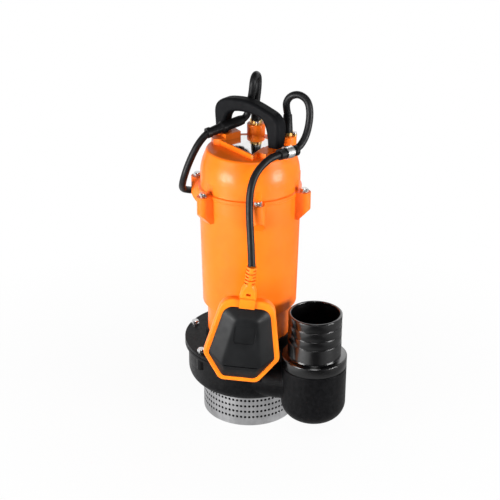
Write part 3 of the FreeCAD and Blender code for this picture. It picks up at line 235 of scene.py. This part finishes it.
def paintFinish(name, low, high, peel, casting, rough=(0.28, 0.42)):
    material, tree, shader = newFinish(name, rough[0], 0.0, 0.06, 0.22)
    shader.inputs["Coat Roughness"].default_value = 0.09
    tint(tree, shader, grain(tree, 14.0, 4.0), low, high)
    polish(tree, shader, grain(tree, 90.0, 3.0), *rough)
    relief(tree, shader, (grain(tree, 60.0, 4.0), 0.0012, casting), (grain(tree, 420.0, 2.0), 0.0003, peel),
           edge=0.001)
    return material


def castFinish(name, low, high, depth, rough, cell=520.0, metal=0.0, specular=0.5):
    material, tree, shader = newFinish(name, rough[0], metal, 0.0, specular)
    tint(tree, shader, grain(tree, 160.0, 5.0), low, high)
    polish(tree, shader, grain(tree, 220.0, 4.0), *rough)
    relief(tree, shader, (grain(tree, 45.0, 3.0), 0.002, 0.35 * depth),
           (grain(tree, cell, 4.0, 0.62), 0.0007, depth), (pits(tree, cell * 1.3), 0.0004, 0.3 * depth),
           edge=0.0012)
    return material


def mouldedFinish(name, low, high, rough, texture, specular=0.5):
    material, tree, shader = newFinish(name, rough[0], specular=specular)
    tint(tree, shader, grain(tree, 35.0, 4.0), low, high)
    polish(tree, shader, grain(tree, 130.0, 3.0), *rough)
    relief(tree, shader, (grain(tree, 55.0, 2.0), 0.0008, 0.5 * texture),
           (grain(tree, 1500.0, 2.0), 0.00018, texture), edge=0.0007)
    return material


def rubberFinish(name, low, high, rough):
    material, tree, shader = newFinish(name, rough[0], specular=0.20)
    tint(tree, shader, grain(tree, 120.0, 5.0), low, high)
    polish(tree, shader, grain(tree, 300.0, 3.0), *rough)
    relief(tree, shader, (grain(tree, 900.0, 3.0), 0.0003, 0.12), (grain(tree, 110.0, 2.0), 0.0006, 0.05))
    return material


def brush(tree, shader, rough, stretch):
    lines = grain(tree, 260.0, 5.0, 0.6, stretch)
    polish(tree, shader, lines, *rough)
    relief(tree, shader, (lines, 0.00012, 0.12), (grain(tree, 1200.0, 2.0), 0.00008, 0.06))


def metalFinish(name, low, high, rough, stretch=(1, 1, 1)):
    material, tree, shader = newFinish(name, rough[0], 1.0)
    tint(tree, shader, grain(tree, 70.0, 4.0), low, high)
    brush(tree, shader, rough, stretch)
    return material


def sheetFinish(name, low, high, rough, wallRadius):
    # brushed sheet, with painted shade on its inner side: the wall above the base is coloured nearly black
    material, tree, shader = newFinish(name, rough[0], 1.0)
    ramp = tint(tree, shader, grain(tree, 70.0, 4.0), low, high)
    place = addNode(tree, 'ShaderNodeTexCoord')
    flat = addNode(tree, 'ShaderNodeVectorMath', {0: place.outputs["Object"], 1: (1.0, 1.0, 0.0)},
                   operation='MULTIPLY')
    out = addNode(tree, 'ShaderNodeVectorMath', {0: flat.outputs[0]}, operation='LENGTH')
    inside = reckon(tree, 'LESS_THAN', out.outputs["Value"], wallRadius)
    split = addNode(tree, 'ShaderNodeSeparateXYZ', {0: place.outputs["Object"]})
    above = reckon(tree, 'GREATER_THAN', split.outputs["Z"], 0.001)
    # painted shade: inside the wall and above the base the colour turns nearly black
    paintedInnerShade = addNode(tree, 'ShaderNodeMix', {0: reckon(tree, 'MULTIPLY', inside, above), 6: ramp.outputs[0],
                                              7: (0.02, 0.02, 0.022, 1)}, data_type='RGBA')
    tree.links.new(paintedInnerShade.outputs[2], shader.inputs["Base Color"])
    brush(tree, shader, rough, (1, 1, 0.05))
    return material


def turnedFinish(name, low, high, rough, pitch):
    material, tree, shader = newFinish(name, rough[0], 1.0)
    place = addNode(tree, 'ShaderNodeTexCoord')
    lines = addNode(tree, 'ShaderNodeTexWave', {"Vector": place.outputs["Object"], "Scale": pitch,
                                                "Distortion": 0.4, "Detail": 2.0, "Detail Scale": 1.0},
                    bands_direction='Z')
    tint(tree, shader, lines.outputs["Fac"], low, high, 0.1, 0.9)
    polish(tree, shader, grain(tree, 240.0, 4.0), *rough)
    relief(tree, shader, (lines.outputs["Fac"], 0.0003, 0.5), (grain(tree, 700.0, 2.0), 0.0001, 0.15))
    return material


finishes = {
    "orange_paint": paintFinish("orangeEnamel", (0.88, 0.140, 0.0045), (0.93, 0.172, 0.0065), 0.10, 0.10),
    "orange_plastic": mouldedFinish("orangeMoulding", (0.88, 0.180, 0.0045), (0.93, 0.215, 0.0060),
                                    (0.34, 0.46), 0.12, specular=0.22),
    "black_iron": castFinish("blackCasting", (0.0020, 0.0020, 0.0024), (0.0046, 0.0046, 0.0052), 0.42,
                             (0.30, 0.46), specular=0.12),
    "black_plastic": mouldedFinish("blackMoulding", (0.0008, 0.0008, 0.0010), (0.0016, 0.0016, 0.0019),
                                   (0.19, 0.25), 0.02, specular=0.90),
    "handle_plastic": mouldedFinish("handleMoulding", (0.0040, 0.0042, 0.0050), (0.0068, 0.0070, 0.0080),
                                    (0.50, 0.64), 0.30, specular=0.06),
    "float_black": mouldedFinish("floatMoulding", (0.0042, 0.0045, 0.0050), (0.0075, 0.0080, 0.0087),
                                 (0.42, 0.56), 0.40, specular=0.20),
    "black_rubber": rubberFinish("blackRubber", (0.0030, 0.0030, 0.0034), (0.0062, 0.0062, 0.0069),
                                 (0.36, 0.52)),
    "cord_rubber": rubberFinish("cordSheath", (0.0034, 0.0034, 0.0038), (0.0068, 0.0068, 0.0076),
                                (0.38, 0.54)),
    "plug_plastic": mouldedFinish("plugMoulding", (0.0042, 0.0042, 0.0047), (0.0083, 0.0083, 0.0090),
                                  (0.36, 0.50), 0.25, specular=0.18),
    "stainless": sheetFinish("stainlessSheet", (0.60, 0.60, 0.61), (0.74, 0.74, 0.75), (0.26, 0.40), 0.0672),
    "bright_fasteners": metalFinish("zincPlate", (0.62, 0.62, 0.60), (0.78, 0.78, 0.79), (0.20, 0.34)),
    "polished_plate": metalFinish("polishedPlate", (0.80, 0.80, 0.79), (0.86, 0.86, 0.86), (0.05, 0.12),
                                  (1, 0.06, 1)),
    "clip_metal": metalFinish("clipStrip", (0.66, 0.66, 0.66), (0.78, 0.78, 0.78), (0.24, 0.36), (0.1, 1, 1)),
    "brass": metalFinish("turnedBrass", (0.62, 0.36, 0.10), (0.78, 0.50, 0.17), (0.20, 0.34)),
    "bearing_steel": metalFinish("groundSteel", (0.50, 0.50, 0.51), (0.64, 0.64, 0.65), (0.12, 0.22)),
    "bearing_brass": metalFinish("pressedBrass", (0.55, 0.34, 0.11), (0.70, 0.46, 0.16), (0.26, 0.40)),
    "impeller_iron": castFinish("bareCasting", (0.09, 0.085, 0.08), (0.16, 0.15, 0.145), 0.5, (0.42, 0.60),
                                cell=420.0, metal=0.7),
    "seal_ceramic": mouldedFinish("lappedCeramic", (0.70, 0.68, 0.62), (0.78, 0.76, 0.70), (0.14, 0.22),
                                  0.04),
    "core_steel": turnedFinish("stackedSheets", (0.20, 0.20, 0.21), (0.42, 0.42, 0.43), (0.34, 0.48), 320.0),
    "winding_copper": turnedFinish("varnishedWire", (0.42, 0.14, 0.035), (0.72, 0.30, 0.09), (0.24, 0.36),
                                   190.0),
    "bracket_aluminium": castFinish("bracketCasting", (0.46, 0.46, 0.47), (0.58, 0.58, 0.59), 0.35,
                                    (0.38, 0.52), cell=600.0, metal=1.0),
    "inner_plastic": mouldedFinish("innerMoulding", (0.62, 0.60, 0.54), (0.70, 0.68, 0.62), (0.38, 0.50),
                                   0.15),
    "lever_steel": metalFinish("springSteel", (0.46, 0.46, 0.47), (0.60, 0.60, 0.61), (0.24, 0.34)),
}
slotOf = {part["node"]: part["material_slot"] for part in frame["record"]["subparts"]}
finishOf = {**slotOf, "handle": "handle_plastic"}  # the grip is duller than the hose tail
for name, node in nodes.items():
    node.data.materials.clear()
    node.data.materials.append(finishes[finishOf[name]])
print("finishes on", len(slotOf), "nodes")


# Modelling helpers

def clearAll():
    if bpy.context.object and bpy.context.object.mode != 'OBJECT':
        bpy.ops.object.mode_set(mode='OBJECT')
    bpy.ops.object.select_all(action='DESELECT')


def pickFaces(piece, test):
    bpy.ops.object.mode_set(mode='OBJECT')
    scene.tool_settings.mesh_select_mode = (False, False, True)
    for group in (piece.data.vertices, piece.data.edges, piece.data.polygons):
        for item in group:
            item.select = False
    for face in piece.data.polygons:
        face.select = test(face.center, face.normal)
    bpy.ops.object.mode_set(mode='EDIT')


def pickEdges(piece, test):
    bpy.ops.object.mode_set(mode='OBJECT')
    scene.tool_settings.mesh_select_mode = (False, True, False)
    points = piece.data.vertices
    for group in (points, piece.data.edges, piece.data.polygons):
        for item in group:
            item.select = False
    for edge in piece.data.edges:
        edge.select = test(points[edge.vertices[0]].co, points[edge.vertices[1]].co)
    bpy.ops.object.mode_set(mode='EDIT')


def startBlock(name, centre, size):
    clearAll()
    bpy.ops.mesh.primitive_cube_add(size=1.0, location=centre, scale=size)
    piece = bpy.context.object
    piece.name = name
    bpy.ops.object.transform_apply(location=True, rotation=True, scale=True)
    return piece


def startRod(name, centre, radius, depth, turn=(0.0, 0.0, 0.0), sides=32):
    clearAll()
    bpy.ops.mesh.primitive_cylinder_add(vertices=sides, radius=radius, depth=depth, location=centre,
                                        rotation=turn)
    piece = bpy.context.object
    piece.name = name
    bpy.ops.object.transform_apply(location=True, rotation=True, scale=True)
    return piece


def drawOut(steps, axis, centre):
    # each step moves the chosen end on by a length and scales it across the axis
    for length, *share in steps:
        wide, high = (share * 2)[:2]
        bpy.ops.mesh.extrude_region_move(TRANSFORM_OT_translate={"value": Vector(axis) * length})
        factors = [1.0 if abs(a) > 0.5 else None for a in axis]
        shares = iter((wide, high))
        bpy.ops.transform.resize(value=[f if f else next(shares) for f in factors], center_override=centre)


def finishPiece(piece, slot, body, width=0.0004, segments=2, angle=35.0):
    if piece.mode != 'OBJECT':
        bpy.ops.object.mode_set(mode='OBJECT')
    clearAll()
    piece.select_set(True)
    bpy.context.view_layer.objects.active = piece
    if width:
        edge = piece.modifiers.new("edge", 'BEVEL')
        edge.width, edge.segments, edge.limit_method = width, segments, 'ANGLE'
        edge.angle_limit = math.radians(angle)
        bpy.ops.object.modifier_apply(modifier=edge.name)
    bpy.ops.object.shade_smooth_by_angle(angle=math.radians(angle))
    piece.data.materials.clear()
    piece.data.materials.append(finishes[slot])
    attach(piece, body)
    piece.select_set(False)
    return piece


def joinPieces(pieces, name):
    clearAll()
    for piece in pieces:
        piece.select_set(True)
    bpy.context.view_layer.objects.active = pieces[0]
    bpy.ops.object.join()
    pieces[0].name = name
    return pieces[0]


# Float covers, drawn upright about their middle and then hung at the float's place

# outlines, cuts, stations and panel in millimetres; a station is a share of the way to the face, and a depth
coverShape = {"opening": [(30.15, 48.35), (45.15, -25.0), (22.65, -58.85)],
              "face": [(14.6, 36.5), (26.6, -33.5), (21.5, -39.5)],
              "openCuts": (12.5, 4.6), "faceCuts": (5.0, 2.6), "cutSegments": 6, "wall": 0.0022,
              "stations": [(0.0, 0.6), (0.0, 7.0), (0.06, 8.1), (0.30, 11.3), (0.60, 15.2), (0.84, 18.2),
                           (0.94, 19.2), (1.03, 19.75), (1.14, 19.9)],
              "panel": ((0.0, 13.5), (29.0, 27.0), 1.1), "panelRound": 0.003,
              "place": (-0.008, -0.120, 0.175), "leanDeg": 6.5}


def outlineRing(corners, cuts, depth, segments):
    # a six-cornered wire with rounded corners; the lower four are cut less
    clearAll()
    bpy.ops.mesh.primitive_circle_add(vertices=6, radius=0.03, fill_type='NGON',
                                      rotation=(math.radians(90.0), 0.0, 0.0))
    ring = bpy.context.object
    bpy.ops.object.transform_apply(location=True, rotation=True, scale=True)
    right = [Vector((u, 0.0, v)) * 0.001 for u, v in corners]
    left = [Vector((-p.x, 0.0, p.z)) for p in right]
    targets = sorted(right + left, key=lambda p: math.atan2(p.z, p.x))
    ends = sorted(ring.data.vertices, key=lambda v: math.atan2(v.co.z, v.co.x))
    for end, target in zip(ends, targets):
        end.co = target + Vector((0.0, -depth * 0.001, 0.0))
    for cut, high in zip(cuts, (True, False)):
        if ring.mode != 'OBJECT':
            bpy.ops.object.mode_set(mode='OBJECT')
        scene.tool_settings.mesh_select_mode = (True, False, False)
        for item in [*ring.data.edges, *ring.data.polygons]:
            item.select = False
        spots = [p for p in targets if (p.z > 0) == high]
        for point in ring.data.vertices:
            point.select = any((point.co.xz - p.xz).length < 1e-5 for p in spots)
        bpy.ops.object.mode_set(mode='EDIT')
        bpy.ops.mesh.bevel(offset=cut * 0.001, segments=segments, affect='VERTICES')
    bpy.ops.mesh.select_all(action='SELECT')
    bpy.ops.mesh.delete(type='ONLY_FACE')
    bpy.ops.object.mode_set(mode='OBJECT')
    return ring


def makeFloatCover(name, shape, back):
    rings = []
    for share, depth in shape["stations"]:
        corners = [(a + share * (c - a), b + share * (d - b))
                   for (a, b), (c, d) in zip(shape["opening"], shape["face"])]
        cuts = [a + min(share, 1.0) * (b - a) for a, b in zip(shape["openCuts"], shape["faceCuts"])]
        rings.append(outlineRing(corners, cuts, depth, shape["cutSegments"]))
    cover = joinPieces(rings, name)
    depths = [depth * 0.001 for share, depth in shape["stations"]]
    for low, high in zip(depths, depths[1:]):
        pickEdges(cover, lambda a, b: abs(a.y - b.y) < 1e-6 and min(abs(a.y + low), abs(a.y + high)) < 1e-6)
        bpy.ops.mesh.bridge_edge_loops()
    pickEdges(cover, lambda a, b: abs(a.y + depths[-1]) < 1e-6 and abs(b.y + depths[-1]) < 1e-6)
    bpy.ops.mesh.edge_face_add()
    bpy.ops.mesh.select_all(action='SELECT')
    bpy.ops.mesh.normals_make_consistent(inside=False)
    bpy.ops.object.mode_set(mode='OBJECT')
    front = min(cover.data.polygons, key=lambda face: face.center.y)
    if front.normal.y > 0:
        bpy.ops.object.mode_set(mode='EDIT')
        bpy.ops.mesh.flip_normals()
        bpy.ops.object.mode_set(mode='OBJECT')
    wall = cover.modifiers.new("wall", 'SOLIDIFY')
    wall.thickness, wall.offset = shape["wall"], -1.0
    bpy.ops.object.modifier_apply(modifier=wall.name)
    (u, v), (wide, high), deep = shape["panel"]
    cutter = startBlock("panelCutter", (u * 0.001, -depths[-1], v * 0.001),
                        (wide * 0.001, deep * 0.002, high * 0.001))
    pickEdges(cutter, lambda a, b: abs(a.y - b.y) > 1e-6)
    bpy.ops.mesh.bevel(offset=shape["panelRound"], segments=4, affect='EDGES')
    bpy.ops.object.mode_set(mode='OBJECT')
    clearAll()
    bpy.context.view_layer.objects.active = cover
    cover.select_set(True)
    cut = cover.modifiers.new("panel", 'BOOLEAN')
    cut.operation, cut.object, cut.solver = 'DIFFERENCE', cutter, 'EXACT'
    bpy.ops.object.modifier_apply(modifier=cut.name)
    bpy.data.objects.remove(cutter)
    if back:
        cover.rotation_euler = (0.0, 0.0, math.radians(180.0))
        bpy.ops.object.transform_apply(location=True, rotation=True, scale=True)
    cover.rotation_euler = (0.0, math.radians(shape["leanDeg"]), 0.0)
    cover.location = shape["place"]
    bpy.ops.object.transform_apply(location=True, rotation=True, scale=True)
    finishPiece(cover, "float_black", "float", 0.0, angle=32.0)
    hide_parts("float_back_cover" if back else "float_front_cover")
    return cover


makeFloatCover("floatCoverFront", coverShape, False)
makeFloatCover("floatCoverBack", coverShape, True)
print("float covers made")


# Hose tail, drawn out upward in rings and then down its bore

tailShape = {"centre": (0.0908, -0.0860), "low": 0.1027, "collarLow": 0.1163, "collarHigh": 0.1315,
             "chamfer": 0.0015, "spigot": 0.0377, "collar": 0.0458, "tube": 0.0375, "bore": 0.0337,
             "firstBarb": 0.1543, "pitch": 0.0134,
             "barbs": 3, "barbDepth": 0.0010, "lip": 0.0008, "lipSlant": 0.0012, "boreSlant": 0.0006,
             "startLength": 0.002, "boreStop": 0.0005, "edge": 0.0003}


def makeHoseTail(shape):
    x, y = shape["centre"]
    start = shape["startLength"]
    tail = startRod("hoseTail", (x, y, shape["low"] + start / 2), shape["spigot"], start, sides=128)
    tube, narrow = shape["tube"], shape["tube"] - shape["barbDepth"]
    levels = [(shape["collarLow"], shape["spigot"]), (shape["collarLow"], shape["collar"]),
              (shape["collarHigh"] - shape["chamfer"], shape["collar"]),
              (shape["collarHigh"], shape["collar"] - shape["chamfer"]), (shape["collarHigh"], tube),
              (shape["firstBarb"], tube)]
    for i in range(shape["barbs"]):
        z = shape["firstBarb"] + i * shape["pitch"]
        levels += [(z, narrow), (z + shape["pitch"] * 0.3, tube - shape["barbDepth"] * 0.25),
                   (z + shape["pitch"], tube)]
    top = shape["firstBarb"] + shape["barbs"] * shape["pitch"]
    levels += [(top + shape["lip"], tube - shape["lipSlant"]),
               (top + shape["lip"], shape["bore"] + shape["boreSlant"]), (top, shape["bore"]),
               (shape["low"] + shape["boreStop"], shape["bore"])]
    height, radius, steps = shape["low"] + start, shape["spigot"], []
    for z, r in levels:
        steps.append((z - height, r / radius))
        height, radius = z, r
    pickFaces(tail, lambda c, n: n.z > 0.9)
    drawOut(steps, (0, 0, 1), (x, y, 0.0))
    foot = shape["low"] + shape["boreStop"] + 0.0001
    pickFaces(tail, lambda c, n: abs(n.z) > 0.9 and c.z < foot and (c.xy - Vector((x, y))).length < 0.01)
    bpy.ops.mesh.delete(type='FACE')
    pickEdges(tail, lambda a, b: abs(a.z - b.z) < 1e-6 and a.z < foot)
    bpy.ops.mesh.bridge_edge_loops()
    bpy.ops.mesh.select_all(action='SELECT')
    bpy.ops.mesh.normals_make_consistent(inside=False)
    finishPiece(tail, "black_plastic", "root", shape["edge"], 3, 22.0)
    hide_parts("hose_tail")
    return tail


makeHoseTail(tailShape)
print("hose tail made")


# Plug on the cord's end

plugShape = {"centre": (-0.044, 0.2090, 0.0064), "size": (0.030, 0.006, 0.0126), "corner": 0.0042,
             "front": 0.228, "faceRim": 0.0022, "faceDepth": 0.0007, "gripRibs": 3, "edge": 0.00008,
             "firstGrip": [(0.0006, 0.93, 0.90), (0.0016, 1.0), (0.0006, 1.0 / 0.93, 1.0 / 0.90), (0.0022, 1.0)],
             "grip": [(0.0008, 0.94, 0.90), (0.0022, 1.0), (0.0008, 1.0 / 0.94, 1.0 / 0.90), (0.0022, 1.0)],
             "neck": [(0.0030, 0.86, 0.97), (0.0035, 0.72, 0.96)],
             "reliefFrom": 0.1925, "reliefTo": 0.164, "reliefRadius": 0.0061, "cordRadius": 0.0052,
             "reliefRibs": 6, "groove": (0.0002, 0.88), "pinRadius": 0.0024, "pinSpacing": 0.019,
             "pin": [(0.0060, 1.0), (0.0001, 1.06), (0.0080, 1.0), (0.0006, 0.86), (0.0003, 0.6)]}


def makePlug(shape):
    x, y, z = shape["centre"]
    body = startBlock("cordPlug", (x, shape["front"] - shape["size"][1] / 2, z), shape["size"])
    half = shape["size"][0] / 2
    pickEdges(body, lambda a, b: abs(a.x - b.x) < 1e-5 and abs(a.z - b.z) < 1e-5
              and abs(abs(a.x - x) - half) < 1e-4)
    bpy.ops.mesh.bevel(offset=shape["corner"], segments=5, affect='EDGES')
    rear = shape["front"] - shape["size"][1]
    pickFaces(body, lambda c, n: n.y < -0.9 and c.y < rear + 0.001)
    drawOut(shape["firstGrip"] + shape["grip"] * shape["gripRibs"] + shape["neck"], (0, -1, 0), (x, y, z))
    bpy.ops.object.mode_set(mode='OBJECT')
    pickFaces(body, lambda c, n: n.y > 0.9 and c.y > shape["front"] - 0.001)
    bpy.ops.mesh.inset(thickness=shape["faceRim"], depth=-shape["faceDepth"])  # the face round the pins
    bpy.ops.object.mode_set(mode='OBJECT')

    length = shape["reliefFrom"] - shape["reliefTo"]
    step = length / (2 * shape["reliefRibs"])
    sleeve = startRod("plugRelief", (x, shape["reliefFrom"] + 0.002, z), shape["reliefRadius"], 0.004,
                      (math.radians(90.0), 0.0, 0.0))
    pickFaces(sleeve, lambda c, n: n.y < -0.9)
    taper = (shape["cordRadius"] / shape["reliefRadius"]) ** (1.0 / shape["reliefRibs"])
    ribs, (slant, share) = [], shape["groove"]
    for i in range(shape["reliefRibs"]):
        ribs += [(slant, share), (step - slant, 1.0), (slant, taper / share), (step - slant, 1.0)]
    drawOut(ribs, (0, -1, 0), (x, y, z))
    bpy.ops.object.mode_set(mode='OBJECT')

    pins = []
    for side in (-0.5, 0.5):
        place = (x + side * shape["pinSpacing"], shape["front"] + 0.001, z)
        root = startRod("pinSleeve", place, shape["pinRadius"] * 0.94, 0.006, (math.radians(90.0), 0.0, 0.0),
                        24)
        pickFaces(root, lambda c, n: n.y > 0.9)
        drawOut(shape["pin"], (0, 1, 0), place)
        bpy.ops.object.mode_set(mode='OBJECT')
        pins.append(root)
    pins = joinPieces(pins, "plugPins")
    plug = joinPieces([body, sleeve], "cordPlug")
    finishPiece(plug, "plug_plastic", "root", shape["edge"])
    finishPiece(pins, "bright_fasteners", "root", 0.0)
    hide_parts("power_plug")
    return plug, pins


plug, plugPins = makePlug(plugShape)
print("plug made")


# Cords; the points are in metres

cordLook = {"thickness": 0.010, "round": 8, "steps": 10}
humpRoute = [(0.0082, 0.0510, 0.4525), (0.0096, 0.0512, 0.4640), (0.0108, 0.0512, 0.4760),
             (0.0110, 0.0510, 0.4878), (0.0096, 0.0466, 0.4942), (0.0072, 0.0395, 0.4966),
             (0.0048, 0.0324, 0.4942), (0.0034, 0.0280, 0.4878), (0.0024, 0.0296, 0.4750),
             (0.0000, 0.0324, 0.4610), (-0.0022, 0.0358, 0.4485), (-0.0046, 0.0360, 0.4390),
             (-0.0105, 0.0330, 0.4340), (-0.0203, 0.0273, 0.4319)]
dropRoute = [(-0.0472, 0.0116, 0.4261), (-0.0594, 0.0045, 0.4235), (-0.0700, 0.0005, 0.4115),
             (-0.0775, -0.0015, 0.3980), (-0.0843, -0.0030, 0.3830), (-0.0900, -0.0040, 0.3670),
             (-0.0938, 0.0015, 0.3520), (-0.0952, 0.0140, 0.3405), (-0.0940, 0.0300, 0.3315),
             (-0.0895, 0.0460, 0.3240), (-0.0800, 0.0610, 0.3170), (-0.0675, 0.0750, 0.3070),
             (-0.0565, 0.0860, 0.2920), (-0.0495, 0.0940, 0.2700), (-0.0460, 0.0985, 0.2400),
             (-0.0445, 0.1010, 0.2000), (-0.0445, 0.1025, 0.1560), (-0.0445, 0.1040, 0.1170),
             (-0.0445, 0.1090, 0.0840), (-0.0443, 0.1195, 0.0590), (-0.0441, 0.1350, 0.0430)]
plugRoute = [(-0.0448, 0.164, 0.0064), (-0.044, 0.178, 0.0064), (-0.044, 0.205, 0.0064)]
loopRoute = [(0.0510, 0.0095, 0.4490), (0.0490, 0.0085, 0.4580), (0.0486, 0.0045, 0.4695),
             (0.0550, 0.0005, 0.4792), (0.0662, -0.0040, 0.4822), (0.0770, -0.0085, 0.4752),
             (0.0805, -0.0125, 0.4600), (0.0785, -0.0165, 0.4400), (0.0730, -0.0220, 0.4235),
             (0.0625, -0.0307, 0.4124)]
hangRoute = [(0.0379, -0.0533, 0.4137), (0.0315, -0.0590, 0.4134), (0.0240, -0.0645, 0.4110),
             (0.0170, -0.0700, 0.4060), (0.0096, -0.0770, 0.3995), (0.0034, -0.0845, 0.3890),
             (0.0002, -0.0895, 0.3750), (-0.0010, -0.0925, 0.3580), (-0.0004, -0.0970, 0.3395),
             (0.0007, -0.1025, 0.3210), (0.0017, -0.1090, 0.3035), (0.0023, -0.1155, 0.2910),
             (0.0028, -0.1200, 0.2812)]
coilShape = {"centre": (0.032, 0.152), "outer": 0.076, "turns": 14, "layers": 4, "pitch": 0.0105,
             "rise": 0.01045, "floorZ": 0.0064, "pointsPerTurn": 16}


def coilRoute(shape):
    perLayer = shape["turns"] / shape["layers"]
    count = shape["turns"] * shape["pointsPerTurn"]
    spread = 4.0 / (3.0 + math.cos(2 * math.pi / shape["pointsPerTurn"]))  # the spline runs inside its points
    route = []
    for i in range(count + 1):
        k = i / shape["pointsPerTurn"]
        layer = min(int(k / perLayer), shape["layers"] - 1)
        along = k - layer * perLayer
        inward = along if layer % 2 == 0 else perLayer - along
        r = (shape["outer"] - shape["pitch"] * inward) * spread
        change = round(k / perLayer)
        past = k - change * perLayer
        z = shape["floorZ"] + shape["rise"] * layer
        if 0 < change < shape["layers"] and abs(past) < 0.25:
            z = shape["floorZ"] + shape["rise"] * (change - 0.5 + 0.5 * math.sin(past * 2 * math.pi))
        angle = math.pi + 2 * math.pi * k
        route.append((shape["centre"][0] + r * math.cos(angle), shape["centre"][1] + r * math.sin(angle), z))
    return route


def addCord(name, route, thickness):
    data = bpy.data.curves.new(name, 'CURVE')
    data.dimensions = '3D'
    data.resolution_u = cordLook["steps"]
    data.bevel_depth = 1.0  # times each point's radius
    data.bevel_resolution = cordLook["round"]
    data.use_fill_caps = True
    line = data.splines.new('NURBS')
    line.points.add(len(route) - 1)
    for point, place in zip(line.points, route):
        point.co = (*place, 1.0)
        point.radius = thickness / 2
    line.order_u = 3
    line.use_endpoint_u = True
    cord = bpy.data.objects.new(name, data)
    scene.collection.objects.link(cord)
    data.materials.append(finishes["cord_rubber"])
    return cord


def centreLine(cord):
    depth, caps = cord.data.bevel_depth, cord.data.use_fill_caps
    cord.data.bevel_depth = 0.0
    bpy.context.view_layer.update()
    line = bpy.data.meshes.new_from_object(cord.evaluated_get(bpy.context.evaluated_depsgraph_get()))
    points = [tuple(v.co) for v in line.vertices]
    cord.data.bevel_depth, cord.data.use_fill_caps = depth, caps
    return points


def pathLength(points):
    return sum((Vector(b) - Vector(a)).length for a, b in zip(points, points[1:]))


def makeCords():
    coil = coilRoute(coilShape)
    powerCord = addCord("powerCord", humpRoute + dropRoute + coil[::-1] + plugRoute, cordLook["thickness"])
    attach(powerCord, "root")
    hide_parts("power_cord_hump", "power_cord_drop", "power_cord_coil", "power_cord_end")
    length = pathLength(centreLine(powerCord))
    print("power cord", round(length, 3))

    floatLoop = addCord("floatCordLoop", loopRoute + [hangRoute[0]], cordLook["thickness"])
    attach(floatLoop, "root")
    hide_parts("float_cord_loop")
    print("float loop", round(pathLength(centreLine(floatLoop)), 3))

    floatHang = addCord("floatCordHang", hangRoute, cordLook["thickness"])
    path = centreLine(floatHang)
    print("float hang", round(pathLength(path), 3))
    bpy.context.view_layer.objects.active = floatHang
    floatHang.select_set(True)
    bpy.ops.object.convert(target='MESH')
    floatHang = bpy.context.object
    bpy.ops.object.select_all(action='DESELECT')
    for face in floatHang.data.polygons:
        face.use_smooth = True
    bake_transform(floatHang)
    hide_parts("float_cord_hang")


makeCords()
print("cords laid")
